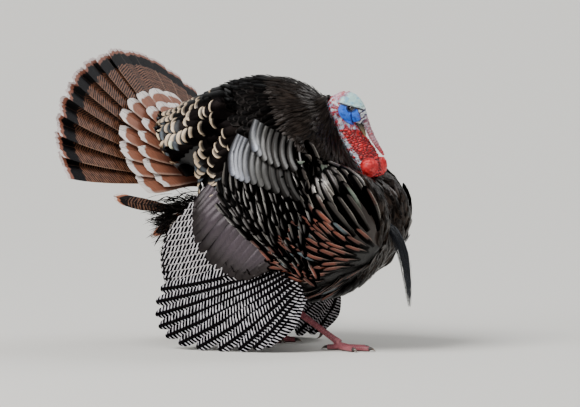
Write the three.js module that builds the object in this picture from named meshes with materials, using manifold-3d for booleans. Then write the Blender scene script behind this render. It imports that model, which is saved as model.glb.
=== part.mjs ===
// Wild turkey, adult male in full strut, a still life-size model.
// Millimetres, +Z up, the bird faces +X and its left side is +Y.
import * as THREE from 'three';
import { mergeVertices } from 'three/addons/utils/BufferGeometryUtils.js';
import Module from 'manifold-3d';

const wasm = await Module();
wasm.setup();

// ---------------------------------------------------------------- driving dimensions
const GAP = 0.3; // clearance kept between neighbouring pieces
const RIGHT = -1; // side signs along Y
const LEFT = 1;
const UP = new THREE.Vector3(0, 0, 1);
const FAR = 4000; // size of a cutting block, larger than the bird

// Trunk: sections across the body, each with its low and high point and its half width.
const TRUNK_SIDES = 22;
const TRUNK_SECTIONS = [
  { x: 206, low: 240, high: 330, half: 30 },
  { x: 184, low: 200, high: 372, half: 70 },
  { x: 144, low: 158, high: 428, half: 108 },
  { x: 92, low: 126, high: 500, half: 138 },
  { x: 42, low: 112, high: 590, half: 152 },
  { x: -8, low: 103, high: 630, half: 157 },
  { x: -64, low: 101, high: 648, half: 157 },
  { x: -122, low: 107, high: 648, half: 150 },
  { x: -184, low: 129, high: 637, half: 138 },
  { x: -236, low: 168, high: 613, half: 126 },
];
const BREAST_LOBE = { x: 95, y: 68, z: 307, length: 140, width: 105, height: 139 };
const FLANK = { x: 22, y: 92, z: 268, length: 138, width: 92, height: 138 };
const CROP = { x: 132, y: 0, z: 368, length: 64, width: 76, height: 52 };
const ELLIPSOID_SIDES = 14;
const ELLIPSOID_ROWS = 8;
const BALL_SIDES = 10; // eyes and caruncles
const BALL_ROWS = 5;

// Tail: all its feathers spring from one root and open in a dished fan.
const TAIL_ROOT = new THREE.Vector3(-268, 0, 387);
const TAIL_LEAN = 41.7; // back from upright, degrees
const TAIL_ROLL = -5;
const TAIL_YAW = -12.6;
const TAIL_SPREAD = 79; // each way from the middle feather
const TAIL_DISH = 14.2; // sweep of the outermost feathers
const TAIL = {
  length: 424,
  shortening: 7, // how much shorter the outermost feathers are
  spread: TAIL_SPREAD,
  feathers: 18,
  columns: 3,
  rows: 1,
  thickness: 2.4,
  notch: 0.022,
  rootRadius: 24,
  offset: 0,
  swell: 0,
};
const COVERTS = {
  length: 286,
  shortening: 80,
  spread: TAIL_SPREAD + 8,
  feathers: 14,
  columns: 2,
  rows: 2,
  thickness: 3,
  notch: 0.05,
  rootRadius: 24,
  offset: 12, // they lie over the front of the fan
  swell: 8,
};
// Rump: how far in front of the tail and above its root, half width and half height.
const RUMP_SECTIONS = [
  { front: 26, up: 66, half: 152, tall: 132 },
  { front: 126, up: 66, half: 132, tall: 98 },
  { front: 216, up: 62, half: 95, tall: 74 },
];

// Head and bare neck lie in the middle plane; the bill points down and forward.
const HEAD_CENTRE = new THREE.Vector3(92, 0, 567);
const BILL_AXIS = new THREE.Vector3(0.67, 0, -0.74).normalize();
const CROWN_AXIS = new THREE.Vector3(0.74, 0, 0.67).normalize();
const EYE = { along: 11, out: 23.4, y: 22, radius: 8.6, flatness: 0.8 };
const NECK_CUT = 24; // where the head is parted from the neck, along the bill axis

// Legs
const TOE_SIDES = 7;
const TOE_RADIUS = 8.2;
const TOE_HEIGHT = 6.6;
const SHANK_SIDES = 8;
const SHANK_RADIUS = 7.4;
const CLAW_GAP = 1; // the toe ends and the claw begins on slanting faces
const LEGS = [
  {
    side: RIGHT,
    name: 'right',
    knee: [46, 78, 196],
    hock: [-24, 64, 101],
    ankle: [104, 62, 17],
    turn: -4,
  },
  {
    side: LEFT,
    name: 'left',
    knee: [-128, 78, 234],
    hock: [-206, 66, 156],
    ankle: [-150, 62, 17],
    turn: 8,
  },
];
const TOES = [
  { angle: 0, length: 80 },
  { angle: 30, length: 60 },
  { angle: -32, length: 62 },
  { angle: 172, length: 30 },
];

const FAR_WING_SHIFT = -36; // the left wing hangs further back in the stride

// ---------------------------------------------------------------- solids
function vec(x, y, z) {
  return new THREE.Vector3(x, y, z);
}

function solid(geometry) {
  const bare = geometry.index ? geometry.clone() : mergeVertices(geometry.clone());
  bare.deleteAttribute('normal');
  bare.deleteAttribute('uv');
  const merged = mergeVertices(bare, 1e-4);
  const mesh = new wasm.Mesh({
    numProp: 3,
    vertProperties: Float32Array.from(merged.attributes.position.array),
    triVerts: Uint32Array.from(merged.index.array),
  });
  return new wasm.Manifold(mesh);
}

function geometryOf(manifold) {
  const mesh = manifold.getMesh();
  const geometry = new THREE.BufferGeometry();
  geometry.setAttribute('position', new THREE.BufferAttribute(mesh.vertProperties, 3));
  geometry.setIndex(new THREE.BufferAttribute(mesh.triVerts, 1));
  return geometry;
}

function union(pieces) {
  return pieces.reduce((whole, piece) => whole.add(piece));
}

// A smooth run of stations through the given ones.
function refine(stations, count) {
  const curve = (key) => new THREE.CatmullRomCurve3(stations.map((s) => s[key]), false, 'centripetal');
  const centre = curve('centre');
  const across = new THREE.CatmullRomCurve3(stations.map((s) => s.across), false, 'catmullrom', 0.5);
  const up = new THREE.CatmullRomCurve3(stations.map((s) => s.up), false, 'catmullrom', 0.5);
  return Array.from({ length: count }, (_, i) => {
    const t = i / (count - 1);
    return { centre: centre.getPoint(t), across: across.getPoint(t), up: up.getPoint(t) };
  });
}

// A closed skin over oval rings, with a flat fan at each end.
function loft(rings, sides, squareness = 2) {
  const positions = [];
  const index = [];
  const bend = (value) => Math.sign(value) * Math.abs(value) ** (2 / squareness);
  for (const ring of rings) {
    for (let k = 0; k < sides; k += 1) {
      const angle = (2 * Math.PI * k) / sides;
      const point = ring.centre
        .clone()
        .addScaledVector(ring.across, bend(Math.cos(angle)))
        .addScaledVector(ring.up, bend(Math.sin(angle)));
      positions.push(...point.toArray());
    }
  }
  for (let r = 0; r + 1 < rings.length; r += 1) {
    for (let k = 0; k < sides; k += 1) {
      const a = r * sides + k;
      const b = r * sides + ((k + 1) % sides);
      index.push(a, b, b + sides, a, b + sides, a + sides);
    }
  }
  const first = positions.length / 3;
  positions.push(...rings[0].centre.toArray(), ...rings.at(-1).centre.toArray());
  const lastRing = (rings.length - 1) * sides;
  for (let k = 0; k < sides; k += 1) {
    const next = (k + 1) % sides;
    index.push(first, next, k, first + 1, lastRing + k, lastRing + next);
  }
  return outward(positions, index);
}

// Flips the winding when the closed mesh came out inside out.
function outward(positions, index) {
  const corner = (i) => vec(positions[3 * i], positions[3 * i + 1], positions[3 * i + 2]);
  let volume = 0;
  for (let i = 0; i < index.length; i += 3) {
    volume += corner(index[i]).dot(corner(index[i + 1]).cross(corner(index[i + 2])));
  }
  if (volume < 0) {
    index.reverse();
  }
  const geometry = new THREE.BufferGeometry();
  geometry.setAttribute('position', new THREE.Float32BufferAttribute(positions, 3));
  geometry.setIndex(index);
  return geometry;
}

// Round or oval limb along a path: stations hold a point, a half width and a half depth.
function limb(stations, sides, count, grow = 0) {
  const path = new THREE.CatmullRomCurve3(stations.map((s) => vec(...s.at)), false, 'centripetal');
  const rings = stations.map((s, i) => {
    const along = path.getTangent(i / (stations.length - 1));
    const across = vec(0, 1, 0).cross(along).lengthSq() < 0.05 ? vec(1, 0, 0) : vec(0, 1, 0);
    const deep = along.clone().cross(across).normalize();
    const wide = deep.clone().cross(along).normalize();
    return {
      centre: vec(...s.at),
      across: wide.multiplyScalar(s.wide + grow),
      up: deep.multiplyScalar((s.deep ?? s.wide) + grow),
    };
  });
  return loft(refine(rings, count), sides);
}

function ellipsoid(at, grow = 0, sides = ELLIPSOID_SIDES, rows = ELLIPSOID_ROWS) {
  const geometry = new THREE.SphereGeometry(1, sides, rows);
  geometry.scale(at.length + grow, at.width + grow, at.height + grow);
  geometry.translate(at.x, at.y, at.z);
  return geometry;
}

// A thin closed fan of feathers between a root line and a tip line. Each feather
// ends in a rounded tip, stands a little proud along its middle and may be cambered.
function fan({ root, tip, normal, feathers, columns, rows, thickness, notch, camber = 0, swell = 0 }) {
  const steps = feathers * columns;
  const positions = [];
  const index = [];
  for (const face of [1, -1]) {
    for (let i = 0; i <= steps; i += 1) {
      const s = i / steps;
      const inFeather = (i % columns) / columns;
      const offCentre = Math.abs(2 * inFeather - 1);
      const reach = 1 - notch * offCentre ** 2;
      const from = root(s);
      const to = tip(s);
      const out = normal(s);
      for (let j = 0; j <= rows; j += 1) {
        const t = (j / rows) * reach;
        const bow = camber * 4 * t * (1 - t);
        const fill = Math.sqrt(Math.max(0, Math.sin(Math.PI * (j / rows)) * Math.sin(Math.PI * s)));
        const lift = bow + face * (thickness / 2 + swell * fill);
        const point = from.clone().lerp(to, t).addScaledVector(out, lift);
        positions.push(...point.toArray());
      }
    }
  }
  const stride = rows + 1;
  const back = (steps + 1) * stride;
  for (let i = 0; i < steps; i += 1) {
    for (let j = 0; j < rows; j += 1) {
      const a = i * stride + j;
      const b = a + stride;
      index.push(a, b, b + 1, a, b + 1, a + 1);
      index.push(back + a, back + b + 1, back + b, back + a, back + a + 1, back + b + 1);
    }
  }
  const upTo = (count) => Array.from({ length: count + 1 }, (_, k) => k);
  const rim = [
    ...upTo(steps).map((i) => i * stride),
    ...upTo(rows).map((j) => steps * stride + j),
    ...upTo(steps).map((i) => (steps - i) * stride + rows),
    ...upTo(rows).map((j) => rows - j),
  ].filter((corner, k, all) => corner !== all[k - 1]);
  for (let k = 0; k + 1 < rim.length; k += 1) {
    const [a, b] = [rim[k], rim[k + 1]];
    index.push(a, back + b, b, a, back + a, back + b);
  }
  return outward(positions, index);
}

// Everything on the given side of a plane, starting half a gap away from it.
function halfSpace(point, normal) {
  const box = new THREE.BoxGeometry(FAR, FAR, FAR);
  box.translate(0, 0, FAR / 2 + GAP / 2);
  box.applyQuaternion(new THREE.Quaternion().setFromUnitVectors(UP, normal.clone().normalize()));
  box.translate(point.x, point.y, point.z);
  return solid(box);
}

// ---------------------------------------------------------------- materials and group
const group = new THREE.Group();

const MATERIALS = {
  plumage: { color: 0x1d1714, roughness: 0.5, metalness: 0.1 },
  bars: { color: 0x6f675f, roughness: 0.6, metalness: 0 },
  rust: { color: 0x6e3f2a, roughness: 0.7, metalness: 0 },
  skinRed: { color: 0xc3262a, roughness: 0.5, metalness: 0 },
  skinBlue: { color: 0x8fb7d9, roughness: 0.55, metalness: 0 },
  legs: { color: 0x9c5360, roughness: 0.5, metalness: 0 },
  horn: { color: 0x4b4543, roughness: 0.35, metalness: 0 },
  eye: { color: 0x140d0a, roughness: 0.08, metalness: 0 },
};

function addSolid(name, manifold, material) {
  const mesh = new THREE.Mesh(geometryOf(manifold), new THREE.MeshStandardMaterial(MATERIALS[material]));
  mesh.name = name;
  group.add(mesh);
}

// ---------------------------------------------------------------- tail frame
const degrees = THREE.MathUtils.degToRad;
const tailTurn = new THREE.Matrix4()
  .makeRotationZ(degrees(TAIL_YAW))
  .multiply(new THREE.Matrix4().makeRotationX(degrees(TAIL_ROLL)));
const lean = degrees(TAIL_LEAN);
const tailUp = vec(-Math.sin(lean), 0, Math.cos(lean)).applyMatrix4(tailTurn);
const tailFront = vec(Math.cos(lean), 0, Math.sin(lean)).applyMatrix4(tailTurn);
const tailSide = vec(0, -1, 0).applyMatrix4(tailTurn);

// Direction of the feather at s, from the left edge (0) to the right edge (1).
function tailDirection(s, spread) {
  const angle = degrees((2 * s - 1) * spread);
  const sweep = degrees(TAIL_DISH) * Math.sin(angle) ** 2;
  return tailUp
    .clone()
    .multiplyScalar(Math.cos(angle))
    .addScaledVector(tailSide, Math.sin(angle))
    .multiplyScalar(Math.cos(sweep))
    .addScaledVector(tailFront, -Math.sin(sweep));
}

function tailFan(spec) {
  const { length, shortening, spread, rootRadius, offset } = spec;
  const base = TAIL_ROOT.clone().addScaledVector(tailFront, offset);
  const along = (s, radius) => base.clone().addScaledVector(tailDirection(s, spread), radius);
  return fan({
    root: (s) => along(s, rootRadius),
    tip: (s) => along(s, length - shortening * (2 * s - 1) ** 2),
    normal: () => tailFront,
    ...spec,
  });
}

// ---------------------------------------------------------------- trunk
function trunkRings(grow) {
  const last = TRUNK_SECTIONS.length - 1;
  return TRUNK_SECTIONS.map((s, i) => ({
    centre: vec(s.x + (i === last ? -grow : grow), 0, (s.low + s.high) / 2),
    across: vec(0, -(s.half + grow), 0),
    up: vec(0, 0, (s.high - s.low) / 2 + grow),
  }));
}

// The rump swells toward the tail in rings that are parallel to the fan.
function rumpRings(grow) {
  return RUMP_SECTIONS.map((s, i) => ({
    centre: TAIL_ROOT.clone()
      .addScaledVector(tailUp, s.up)
      .addScaledVector(tailFront, s.front + (i === 0 ? -grow : grow)),
    across: tailSide.clone().multiplyScalar(s.half + grow),
    up: tailUp.clone().multiplyScalar(s.tall + grow),
  }));
}

const RUFF_SIDES = 13;
const RUFF_RINGS = 5;
const RUFF = [
  { at: [4, 0, 410], wide: 112, deep: 98 },
  { at: [26, 0, 490], wide: 92, deep: 84 },
  { at: [40, 0, 556], wide: 62, deep: 50 },
  { at: [45, 0, 594], wide: 38, deep: 28 },
  { at: [47, 0, 608], wide: 14, deep: 11 },
];

function wholeBody(grow = 0) {
  const pieces = [trunkRings(grow), rumpRings(grow)].map((rings) => solid(loft(rings, TRUNK_SIDES)));
  for (const side of [RIGHT, LEFT]) {
    pieces.push(solid(ellipsoid({ ...BREAST_LOBE, y: side * BREAST_LOBE.y }, grow)));
    pieces.push(solid(ellipsoid({ ...FLANK, y: side * FLANK.y }, grow)));
  }
  pieces.push(solid(ellipsoid(CROP, grow)));
  pieces.push(solid(limb(RUFF, RUFF_SIDES, RUFF_RINGS, grow)));
  return union(pieces);
}

// ---------------------------------------------------------------- head and neck
// Along the bill axis: where, how far the middle sits toward the crown, half depth, half width.
const HEAD_SECTIONS = [
  { along: -46, shift: -6, deep: 12, wide: 9 },
  { along: -38, shift: -6, deep: 32, wide: 23 },
  { along: -22, shift: -1, deep: 44, wide: 30 },
  { along: -4, shift: 1, deep: 47, wide: 31.5 },
  { along: 14, shift: 7, deep: 40, wide: 28 },
  { along: 30, shift: 15, deep: 27, wide: 20 },
  { along: 42, shift: 18, deep: 17, wide: 12 },
  { along: 50, shift: 17, deep: 9, wide: 8 },
];
const HEAD_SIDES = 16;
const HEAD_RINGS = 9;
const NECK_SIDES = 13;
const NECK_RINGS = 6;
const NECK = [
  { at: [78, 0, 556], wide: 25, deep: 32 },
  { at: [98, 0, 522], wide: 25.5, deep: 29 },
  { at: [120, 0, 492], wide: 25, deep: 28 },
  { at: [143, 0, 463], wide: 26, deep: 29 },
  { at: [160, 0, 436], wide: 25, deep: 27 },
  { at: [166, 0, 412], wide: 22, deep: 24 },
];
const CARUNCLES = [
  { x: 161, y: -17, z: 434.5, length: 18, width: 17, height: 19 },
  { x: 181, y: 12, z: 438, length: 14, width: 12.5, height: 23 },
];

function headPoint(along, out, y = 0) {
  return HEAD_CENTRE.clone().addScaledVector(BILL_AXIS, along).addScaledVector(CROWN_AXIS, out).setY(y);
}

function headLoft(grow = 0) {
  const rings = HEAD_SECTIONS.map((s) => ({
    centre: headPoint(s.along, s.shift),
    across: vec(0, s.wide + grow, 0),
    up: CROWN_AXIS.clone().multiplyScalar(s.deep + grow),
  }));
  return loft(refine(rings, HEAD_RINGS), HEAD_SIDES);
}

function ball(at, grow = 0) {
  return solid(ellipsoid(at, grow, BALL_SIDES, BALL_ROWS));
}

const UPPER_BILL = [
  { along: 34, out: 5, deep: 8.5, wide: 8.5 },
  { along: 50, out: 6, deep: 7.5, wide: 7.5 },
  { along: 66, out: 4, deep: 5.2, wide: 5.2 },
  { along: 77, out: -1, deep: 2.6, wide: 2.8 },
  { along: 80, out: -4, deep: 1, wide: 1.2 },
];
const LOWER_BILL = [
  { along: 34, out: -10, deep: 5.5, wide: 8 },
  { along: 50, out: -7.5, deep: 4.5, wide: 6.8 },
  { along: 64, out: -5.5, deep: 3, wide: 4.6 },
  { along: 72, out: -5.6, deep: 1.2, wide: 2.2 },
];

function bill(sections, grow = 0) {
  const rings = sections.map((s) => ({
    centre: headPoint(s.along, s.out),
    across: vec(0, s.wide + grow, 0),
    up: CROWN_AXIS.clone().multiplyScalar(s.deep + grow),
  }));
  return loft(refine(rings, 5), 8);
}

const SNOOD = [
  { at: [138, 1, 560], wide: 7.5, deep: 7 },
  { at: [143, 5, 542], wide: 7, deep: 6.4 },
  { at: [151, 9, 518], wide: 6, deep: 5.8 },
  { at: [165, 11, 492], wide: 5.6, deep: 5.4 },
  { at: [181, 11, 471], wide: 4.6, deep: 4.4 },
  { at: [187, 11, 462], wide: 2, deep: 2 },
];

const BEARD = [
  { at: [196, 0, 302], wide: 13, deep: 8 },
  { at: [216, 0, 284], wide: 13, deep: 8 },
  { at: [236, 0, 248], wide: 12, deep: 9 },
  { at: [248, 0, 205], wide: 11, deep: 9 },
  { at: [255, 0, 155], wide: 9, deep: 7 },
  { at: [258, 0, 112], wide: 5, deep: 4 },
  { at: [258, 0, 100], wide: 1.5, deep: 1.2 },
];

// Soft coverts below the tail root, with two long ones out of place.
const UNDERTAIL = [
  { at: [-206, -4, 262], wide: 44, deep: 40 },
  { at: [-282, -6, 300], wide: 60, deep: 40 },
  { at: [-344, -12, 320], wide: 42, deep: 24 },
  { at: [-392, -18, 326], wide: 16, deep: 9 },
  { at: [-404, -20, 328], wide: 6, deep: 3 },
];
const LOOSE_FEATHERS = [
  [
    { at: [-350, -20, 326], wide: 1.6, deep: 12 },
    { at: [-410, -25, 338], wide: 1.4, deep: 16 },
    { at: [-470, -30, 344], wide: 1.2, deep: 16 },
    { at: [-498, -32, 348], wide: 1, deep: 11 },
    { at: [-508, -33, 350], wide: 0.8, deep: 4 },
  ],
  [
    { at: [-320, -16, 300], wide: 1.6, deep: 9 },
    { at: [-366, -20, 278], wide: 1.4, deep: 11 },
    { at: [-398, -22, 260], wide: 1.2, deep: 11 },
    { at: [-412, -23, 251], wide: 0.8, deep: 5 },
  ],
];

function undertail() {
  const pieces = LOOSE_FEATHERS.map((stations) => solid(limb(stations, 6, 5)));
  return union([solid(limb(UNDERTAIL, 8, 5)), ...pieces]);
}

// ---------------------------------------------------------------- wings
const curveOf = (points) => new THREE.CatmullRomCurve3(points.map((p) => vec(...p)), false, 'centripetal');

const ARM_SWELL = 17; // half the thickness of shoulder, coverts and scapulars
const ARM_BED_SWELL = 70; // the hollow under them that the flight feathers start from

// Right wing; the left one mirrors it.
const ARM_TOP = [
  [66, -140, 462],
  [12, -128, 518],
  [-58, -120, 534],
  [-126, -120, 504],
  [-178, -124, 444],
  [-206, -130, 392],
];
const ARM_EDGE = [
  [50, -172, 236],
  [4, -180, 190],
  [-62, -186, 178],
  [-112, -186, 182],
  [-174, -178, 226],
  [-212, -160, 300],
];
const SECONDARY_ROOTS = [
  [-160, -128, 396],
  [-104, -146, 334],
  [-46, -160, 276],
  [8, -168, 222],
];
const SECONDARY_TIPS = [
  [-222, -140, 366],
  [-264, -152, 316],
  [-297, -164, 274],
  [-309, -176, 232],
  [-307, -183, 194],
  [-293, -190, 150],
];
const PRIMARY_ROOTS = [
  [4, -158, 222],
  [30, -158, 184],
  [46, -150, 132],
];
const PRIMARY_TIPS = [
  [-301, -200, 142],
  [-313, -204, 104],
  [-309, -208, 66],
  [-290, -212, 34],
  [-250, -215, 11],
  [-188, -217, -4],
  [-116, -216, -4],
  [-64, -211, 3],
  [-34, -205, 17],
];

function along(points) {
  const curve = curveOf(points);
  return (s) => curve.getPoint(s);
}

function wingPieces(side, grow = 0, armSwell = ARM_SWELL) {
  const shift = side === LEFT ? FAR_WING_SHIFT : 0;
  const place = (points) => points.map(([x, y, z]) => [x + shift, side === LEFT ? -y : y, z]);
  const out = vec(0, side, 0);
  const arm = fan({
    root: along(place(ARM_TOP)),
    tip: along(place(ARM_EDGE)),
    normal: () => out,
    feathers: 6,
    columns: 2,
    rows: 3,
    thickness: 3 + 2 * grow,
    notch: 0.03,
    camber: 12,
    swell: armSwell,
  });
  const secondaries = fan({
    root: along(place(SECONDARY_ROOTS)),
    tip: along(place(SECONDARY_TIPS)),
    normal: () => out,
    feathers: 9,
    columns: 2,
    rows: 2,
    thickness: 2.4 + 2 * grow,
    notch: 0.05,
    camber: 8,
  });
  const primaries = fan({
    root: along(place(PRIMARY_ROOTS)),
    tip: along(place(PRIMARY_TIPS)),
    normal: () => out,
    feathers: 10,
    columns: 2,
    rows: 2,
    thickness: 2.4 + 2 * grow,
    notch: 0.09,
    camber: 10,
  });
  return { arm: solid(arm), secondaries: solid(secondaries), primaries: solid(primaries) };
}

// ---------------------------------------------------------------- legs
function thigh(leg, grow = 0) {
  const [kx, ky, kz] = leg.knee;
  const [hx, hy, hz] = leg.hock;
  const mid = [(kx + hx) / 2, (leg.side * (ky + hy)) / 2, (kz + hz) / 2];
  const stations = [
    { at: [kx, leg.side * ky, kz], wide: 30 },
    { at: mid, wide: 25 },
    { at: [hx, leg.side * hy, hz + 5], wide: 13 },
  ];
  return solid(limb(stations, 9, 4, grow));
}

function shank(leg, grow = 0) {
  const [hx, hy, hz] = leg.hock;
  const [ax, ay, az] = leg.ankle;
  const at = (t) => [hx + (ax - hx) * t, leg.side * (hy + (ay - hy) * t), hz + (az - hz) * t];
  const stations = [
    { at: at(-0.04), wide: 9, deep: 11 },
    { at: at(0.1), wide: SHANK_RADIUS, deep: SHANK_RADIUS + 1.6 },
    { at: at(0.5), wide: SHANK_RADIUS - 1, deep: SHANK_RADIUS },
    { at: at(0.88), wide: SHANK_RADIUS, deep: SHANK_RADIUS + 0.6 },
    { at: at(1), wide: 9.5, deep: 9.5 },
  ];
  return solid(limb(stations, SHANK_SIDES, 5, grow));
}

function toeEnds(leg, toe) {
  const heading = degrees(leg.turn + leg.side * toe.angle);
  const start = vec(leg.ankle[0], leg.side * leg.ankle[1], TOE_HEIGHT);
  const reach = (length) => start.clone().add(vec(Math.cos(heading) * length, Math.sin(heading) * length, 0));
  return { start, reach };
}

function foot(leg) {
  const pieces = TOES.map((toe) => {
    const { start, reach } = toeEnds(leg, toe);
    const point = (length, lift) => reach(length).setZ(TOE_HEIGHT + lift).toArray();
    return solid(limb([
      { at: [start.x, start.y, TOE_HEIGHT + 4], wide: 9, deep: 10 },
      { at: point(toe.length * 0.35, 0.6), wide: TOE_RADIUS - 0.6, deep: TOE_RADIUS - 0.8 },
      { at: point(toe.length * 0.7, 0), wide: TOE_RADIUS - 1, deep: TOE_RADIUS - 1.2 },
      { at: point(toe.length, -0.4), wide: 5.6, deep: 6.8 },
    ], TOE_SIDES, 4));
  });
  return union(pieces);
}

function claw(leg, toe) {
  const { reach } = toeEnds(leg, toe);
  const point = (length, height) => reach(toe.length + length).setZ(height).toArray();
  return solid(limb([
    { at: point(CLAW_GAP, 6.4), wide: 4.4, deep: 4.8 },
    { at: point(6, 6.8), wide: 3.6, deep: 4.2 },
    { at: point(12, 4.8), wide: 2.2, deep: 2.6 },
    { at: point(17, 1.9), wide: 0.7, deep: 0.8 },
  ], 5, 3));
}

function spur(leg) {
  const [hx, hy, hz] = leg.hock;
  const [ax, ay, az] = leg.ankle;
  const t = 0.66;
  const base = vec(hx + (ax - hx) * t, leg.side * (hy + (ay - hy) * t), hz + (az - hz) * t);
  const down = vec(ax - hx, 0, az - hz).normalize();
  const back = vec(down.z, 0, -down.x).multiplyScalar(down.z < 0 ? 1 : -1);
  const point = (out, lower, inward) => base
    .clone()
    .addScaledVector(back, out)
    .addScaledVector(down, lower)
    .add(vec(0, -leg.side * inward, 0))
    .toArray();
  return solid(limb([
    { at: point(2, 0, 1), wide: 5 },
    { at: point(11, 1, 4), wide: 4.2 },
    { at: point(20, 0, 6), wide: 2.6 },
    { at: point(27, -4, 7), wide: 0.6 },
  ], 6, 4));
}

// ---------------------------------------------------------------- assembly
const head = solid(headLoft());
const neckTube = solid(limb(NECK, NECK_SIDES, NECK_RINGS));
const bareSkin = head.add(neckTube);
const bareSkinGrown = solid(headLoft(GAP)).add(solid(limb(NECK, NECK_SIDES, NECK_RINGS, GAP)));

const balls = CARUNCLES.map((c) => ball(c));
const ballsGrown = CARUNCLES.map((c) => ball(c, GAP));
const eyes = [RIGHT, LEFT].map((side) => {
  const centre = headPoint(EYE.along, EYE.out, side * EYE.y);
  const size = { length: EYE.radius, width: EYE.radius * EYE.flatness, height: EYE.radius };
  const at = { x: centre.x, y: centre.y, z: centre.z, ...size };
  return { side, whole: ball(at), grown: ball(at, GAP) };
});
const billUpper = solid(bill(UPPER_BILL));
const billUpperGrown = solid(bill(UPPER_BILL, GAP));
const billLower = solid(bill(LOWER_BILL));
const billLowerGrown = solid(bill(LOWER_BILL, GAP));
const snood = solid(limb(SNOOD, 8, 7)).subtract(bareSkinGrown);

const thighs = LEGS.map((leg) => thigh(leg));
const thighsGrown = LEGS.map((leg) => thigh(leg, GAP));
const shanks = LEGS.map((leg) => shank(leg));
const shanksGrown = LEGS.map((leg) => shank(leg, GAP));

const body = wholeBody()
  .subtract(bareSkinGrown)
  .subtract(union(ballsGrown))
  .subtract(union(thighsGrown))
  .subtract(union(shanksGrown));
const bodyGrown = wholeBody(GAP);

// The body is parted by thin flat cuts into neck feathers, breast, mantle, belly and rump.
function parted(whole, point, normal) {
  return [normal, normal.clone().negate()].map((side) => whole.intersect(halfSpace(point, side)));
}
const [upperFront, lowerBody] = parted(body, vec(40, 0, 436), vec(0.1, 0, 1));
const [neckFeathers, upperBody] = parted(upperFront, vec(22, 0, 500), vec(0.82, 0, 0.57));
const [breast, lowerMiddle] = parted(lowerBody, vec(62, 0, 300), vec(1, 0, -0.12));
const [frontBelly, belowRump] = parted(lowerMiddle, vec(-206, 0, 400), vec(1, 0, -0.1));
const [mantle, upperRump] = parted(upperBody, vec(-206, 0, 400), vec(1, 0, -0.1));
addSolid('neck_feathered', neckFeathers, 'plumage');
addSolid('breast', breast, 'plumage');
addSolid('mantle', mantle, 'plumage');
addSolid('belly', frontBelly, 'plumage');
addSolid('rump_upper', upperRump, 'plumage');
addSolid('rump_lower', belowRump, 'plumage');

let skin = bareSkin.subtract(union(ballsGrown)).subtract(billUpperGrown).subtract(billLowerGrown);
for (const eye of eyes) {
  skin = skin.subtract(eye.grown);
}
const throatCut = halfSpace(headPoint(NECK_CUT, -40), vec(0.2, 0, -1));
const headSide = halfSpace(headPoint(NECK_CUT, -40), vec(-0.2, 0, 1));
addSolid('head', skin.intersect(headSide), 'skinBlue');
addSolid('neck', skin.intersect(throatCut), 'skinRed');
for (const eye of eyes) {
  addSolid(eye.side === RIGHT ? 'eye_right' : 'eye_left', eye.whole, 'eye');
}
addSolid('bill_upper', billUpper, 'horn');
addSolid('bill_lower', billLower.subtract(billUpperGrown), 'horn');
addSolid('snood', snood, 'skinRed');
addSolid('caruncle_right', balls[0], 'skinRed');
addSolid('caruncle_left', balls[1].subtract(ballsGrown[0]), 'skinRed');
addSolid('beard', solid(limb(BEARD, 8, 6)).subtract(bodyGrown), 'plumage');

const grownTail = {
  ...TAIL,
  thickness: TAIL.thickness + 2 * GAP,
  rootRadius: TAIL.rootRadius - GAP,
};
const tailGrown = solid(tailFan(grownTail));
addSolid('tail_fan', solid(tailFan(TAIL)).subtract(bodyGrown), 'rust');
addSolid('tail_coverts', solid(tailFan(COVERTS)).subtract(bodyGrown).subtract(tailGrown), 'rust');
addSolid('undertail', undertail().subtract(bodyGrown).subtract(tailGrown), 'plumage');

const aboveFloor = halfSpace(vec(0, 0, -GAP / 2), UP);
for (const side of [RIGHT, LEFT]) {
  const name = side === RIGHT ? 'right' : 'left';
  const own = wingPieces(side);
  const grown = wingPieces(side, GAP, ARM_BED_SWELL);
  const beds = bodyGrown.add(grown.arm);
  const primaries = own.primaries.subtract(beds).subtract(grown.secondaries);
  addSolid(`wing_${name}_arm`, own.arm.subtract(bodyGrown), 'plumage');
  addSolid(`wing_${name}_secondaries`, own.secondaries.subtract(beds), 'bars');
  addSolid(`wing_${name}_primaries`, primaries.intersect(aboveFloor), 'bars');
}

LEGS.forEach((leg, i) => {
  addSolid(`thigh_${leg.name}`, thighs[i].subtract(shanksGrown[i]), 'plumage');
  addSolid(`foot_${leg.name}`, foot(leg).subtract(shanksGrown[i]).intersect(aboveFloor), 'legs');
  addSolid(`shank_${leg.name}`, shanks[i], 'legs');
  addSolid(`spur_${leg.name}`, spur(leg).subtract(shanksGrown[i]), 'horn');
  TOES.forEach((toe, k) => addSolid(`claw_${leg.name}_${k + 1}`, claw(leg, toe), 'horn'));
});

// The origin is on the floor under the middle of the whole bird.
const box = new THREE.Box3().setFromObject(group);
const middleOfBox = box.getCenter(vec(0, 0, 0));
group.position.set(-middleOfBox.x, -middleOfBox.y, 0);

export default group;
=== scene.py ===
"""Adult male wild turkey in full strut, a still life-size model.

Lengths are millimetres in the bird's own frame (it faces +X, its left side is +Y, +Z is up)
until a mesh is made; the finished meshes are in metres in the shared frame.
"""
import logging
import math
from dataclasses import dataclass, field
from enum import Enum

import bpy
import numpy as np
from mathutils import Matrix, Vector
from mathutils.bvhtree import BVHTree


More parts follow.
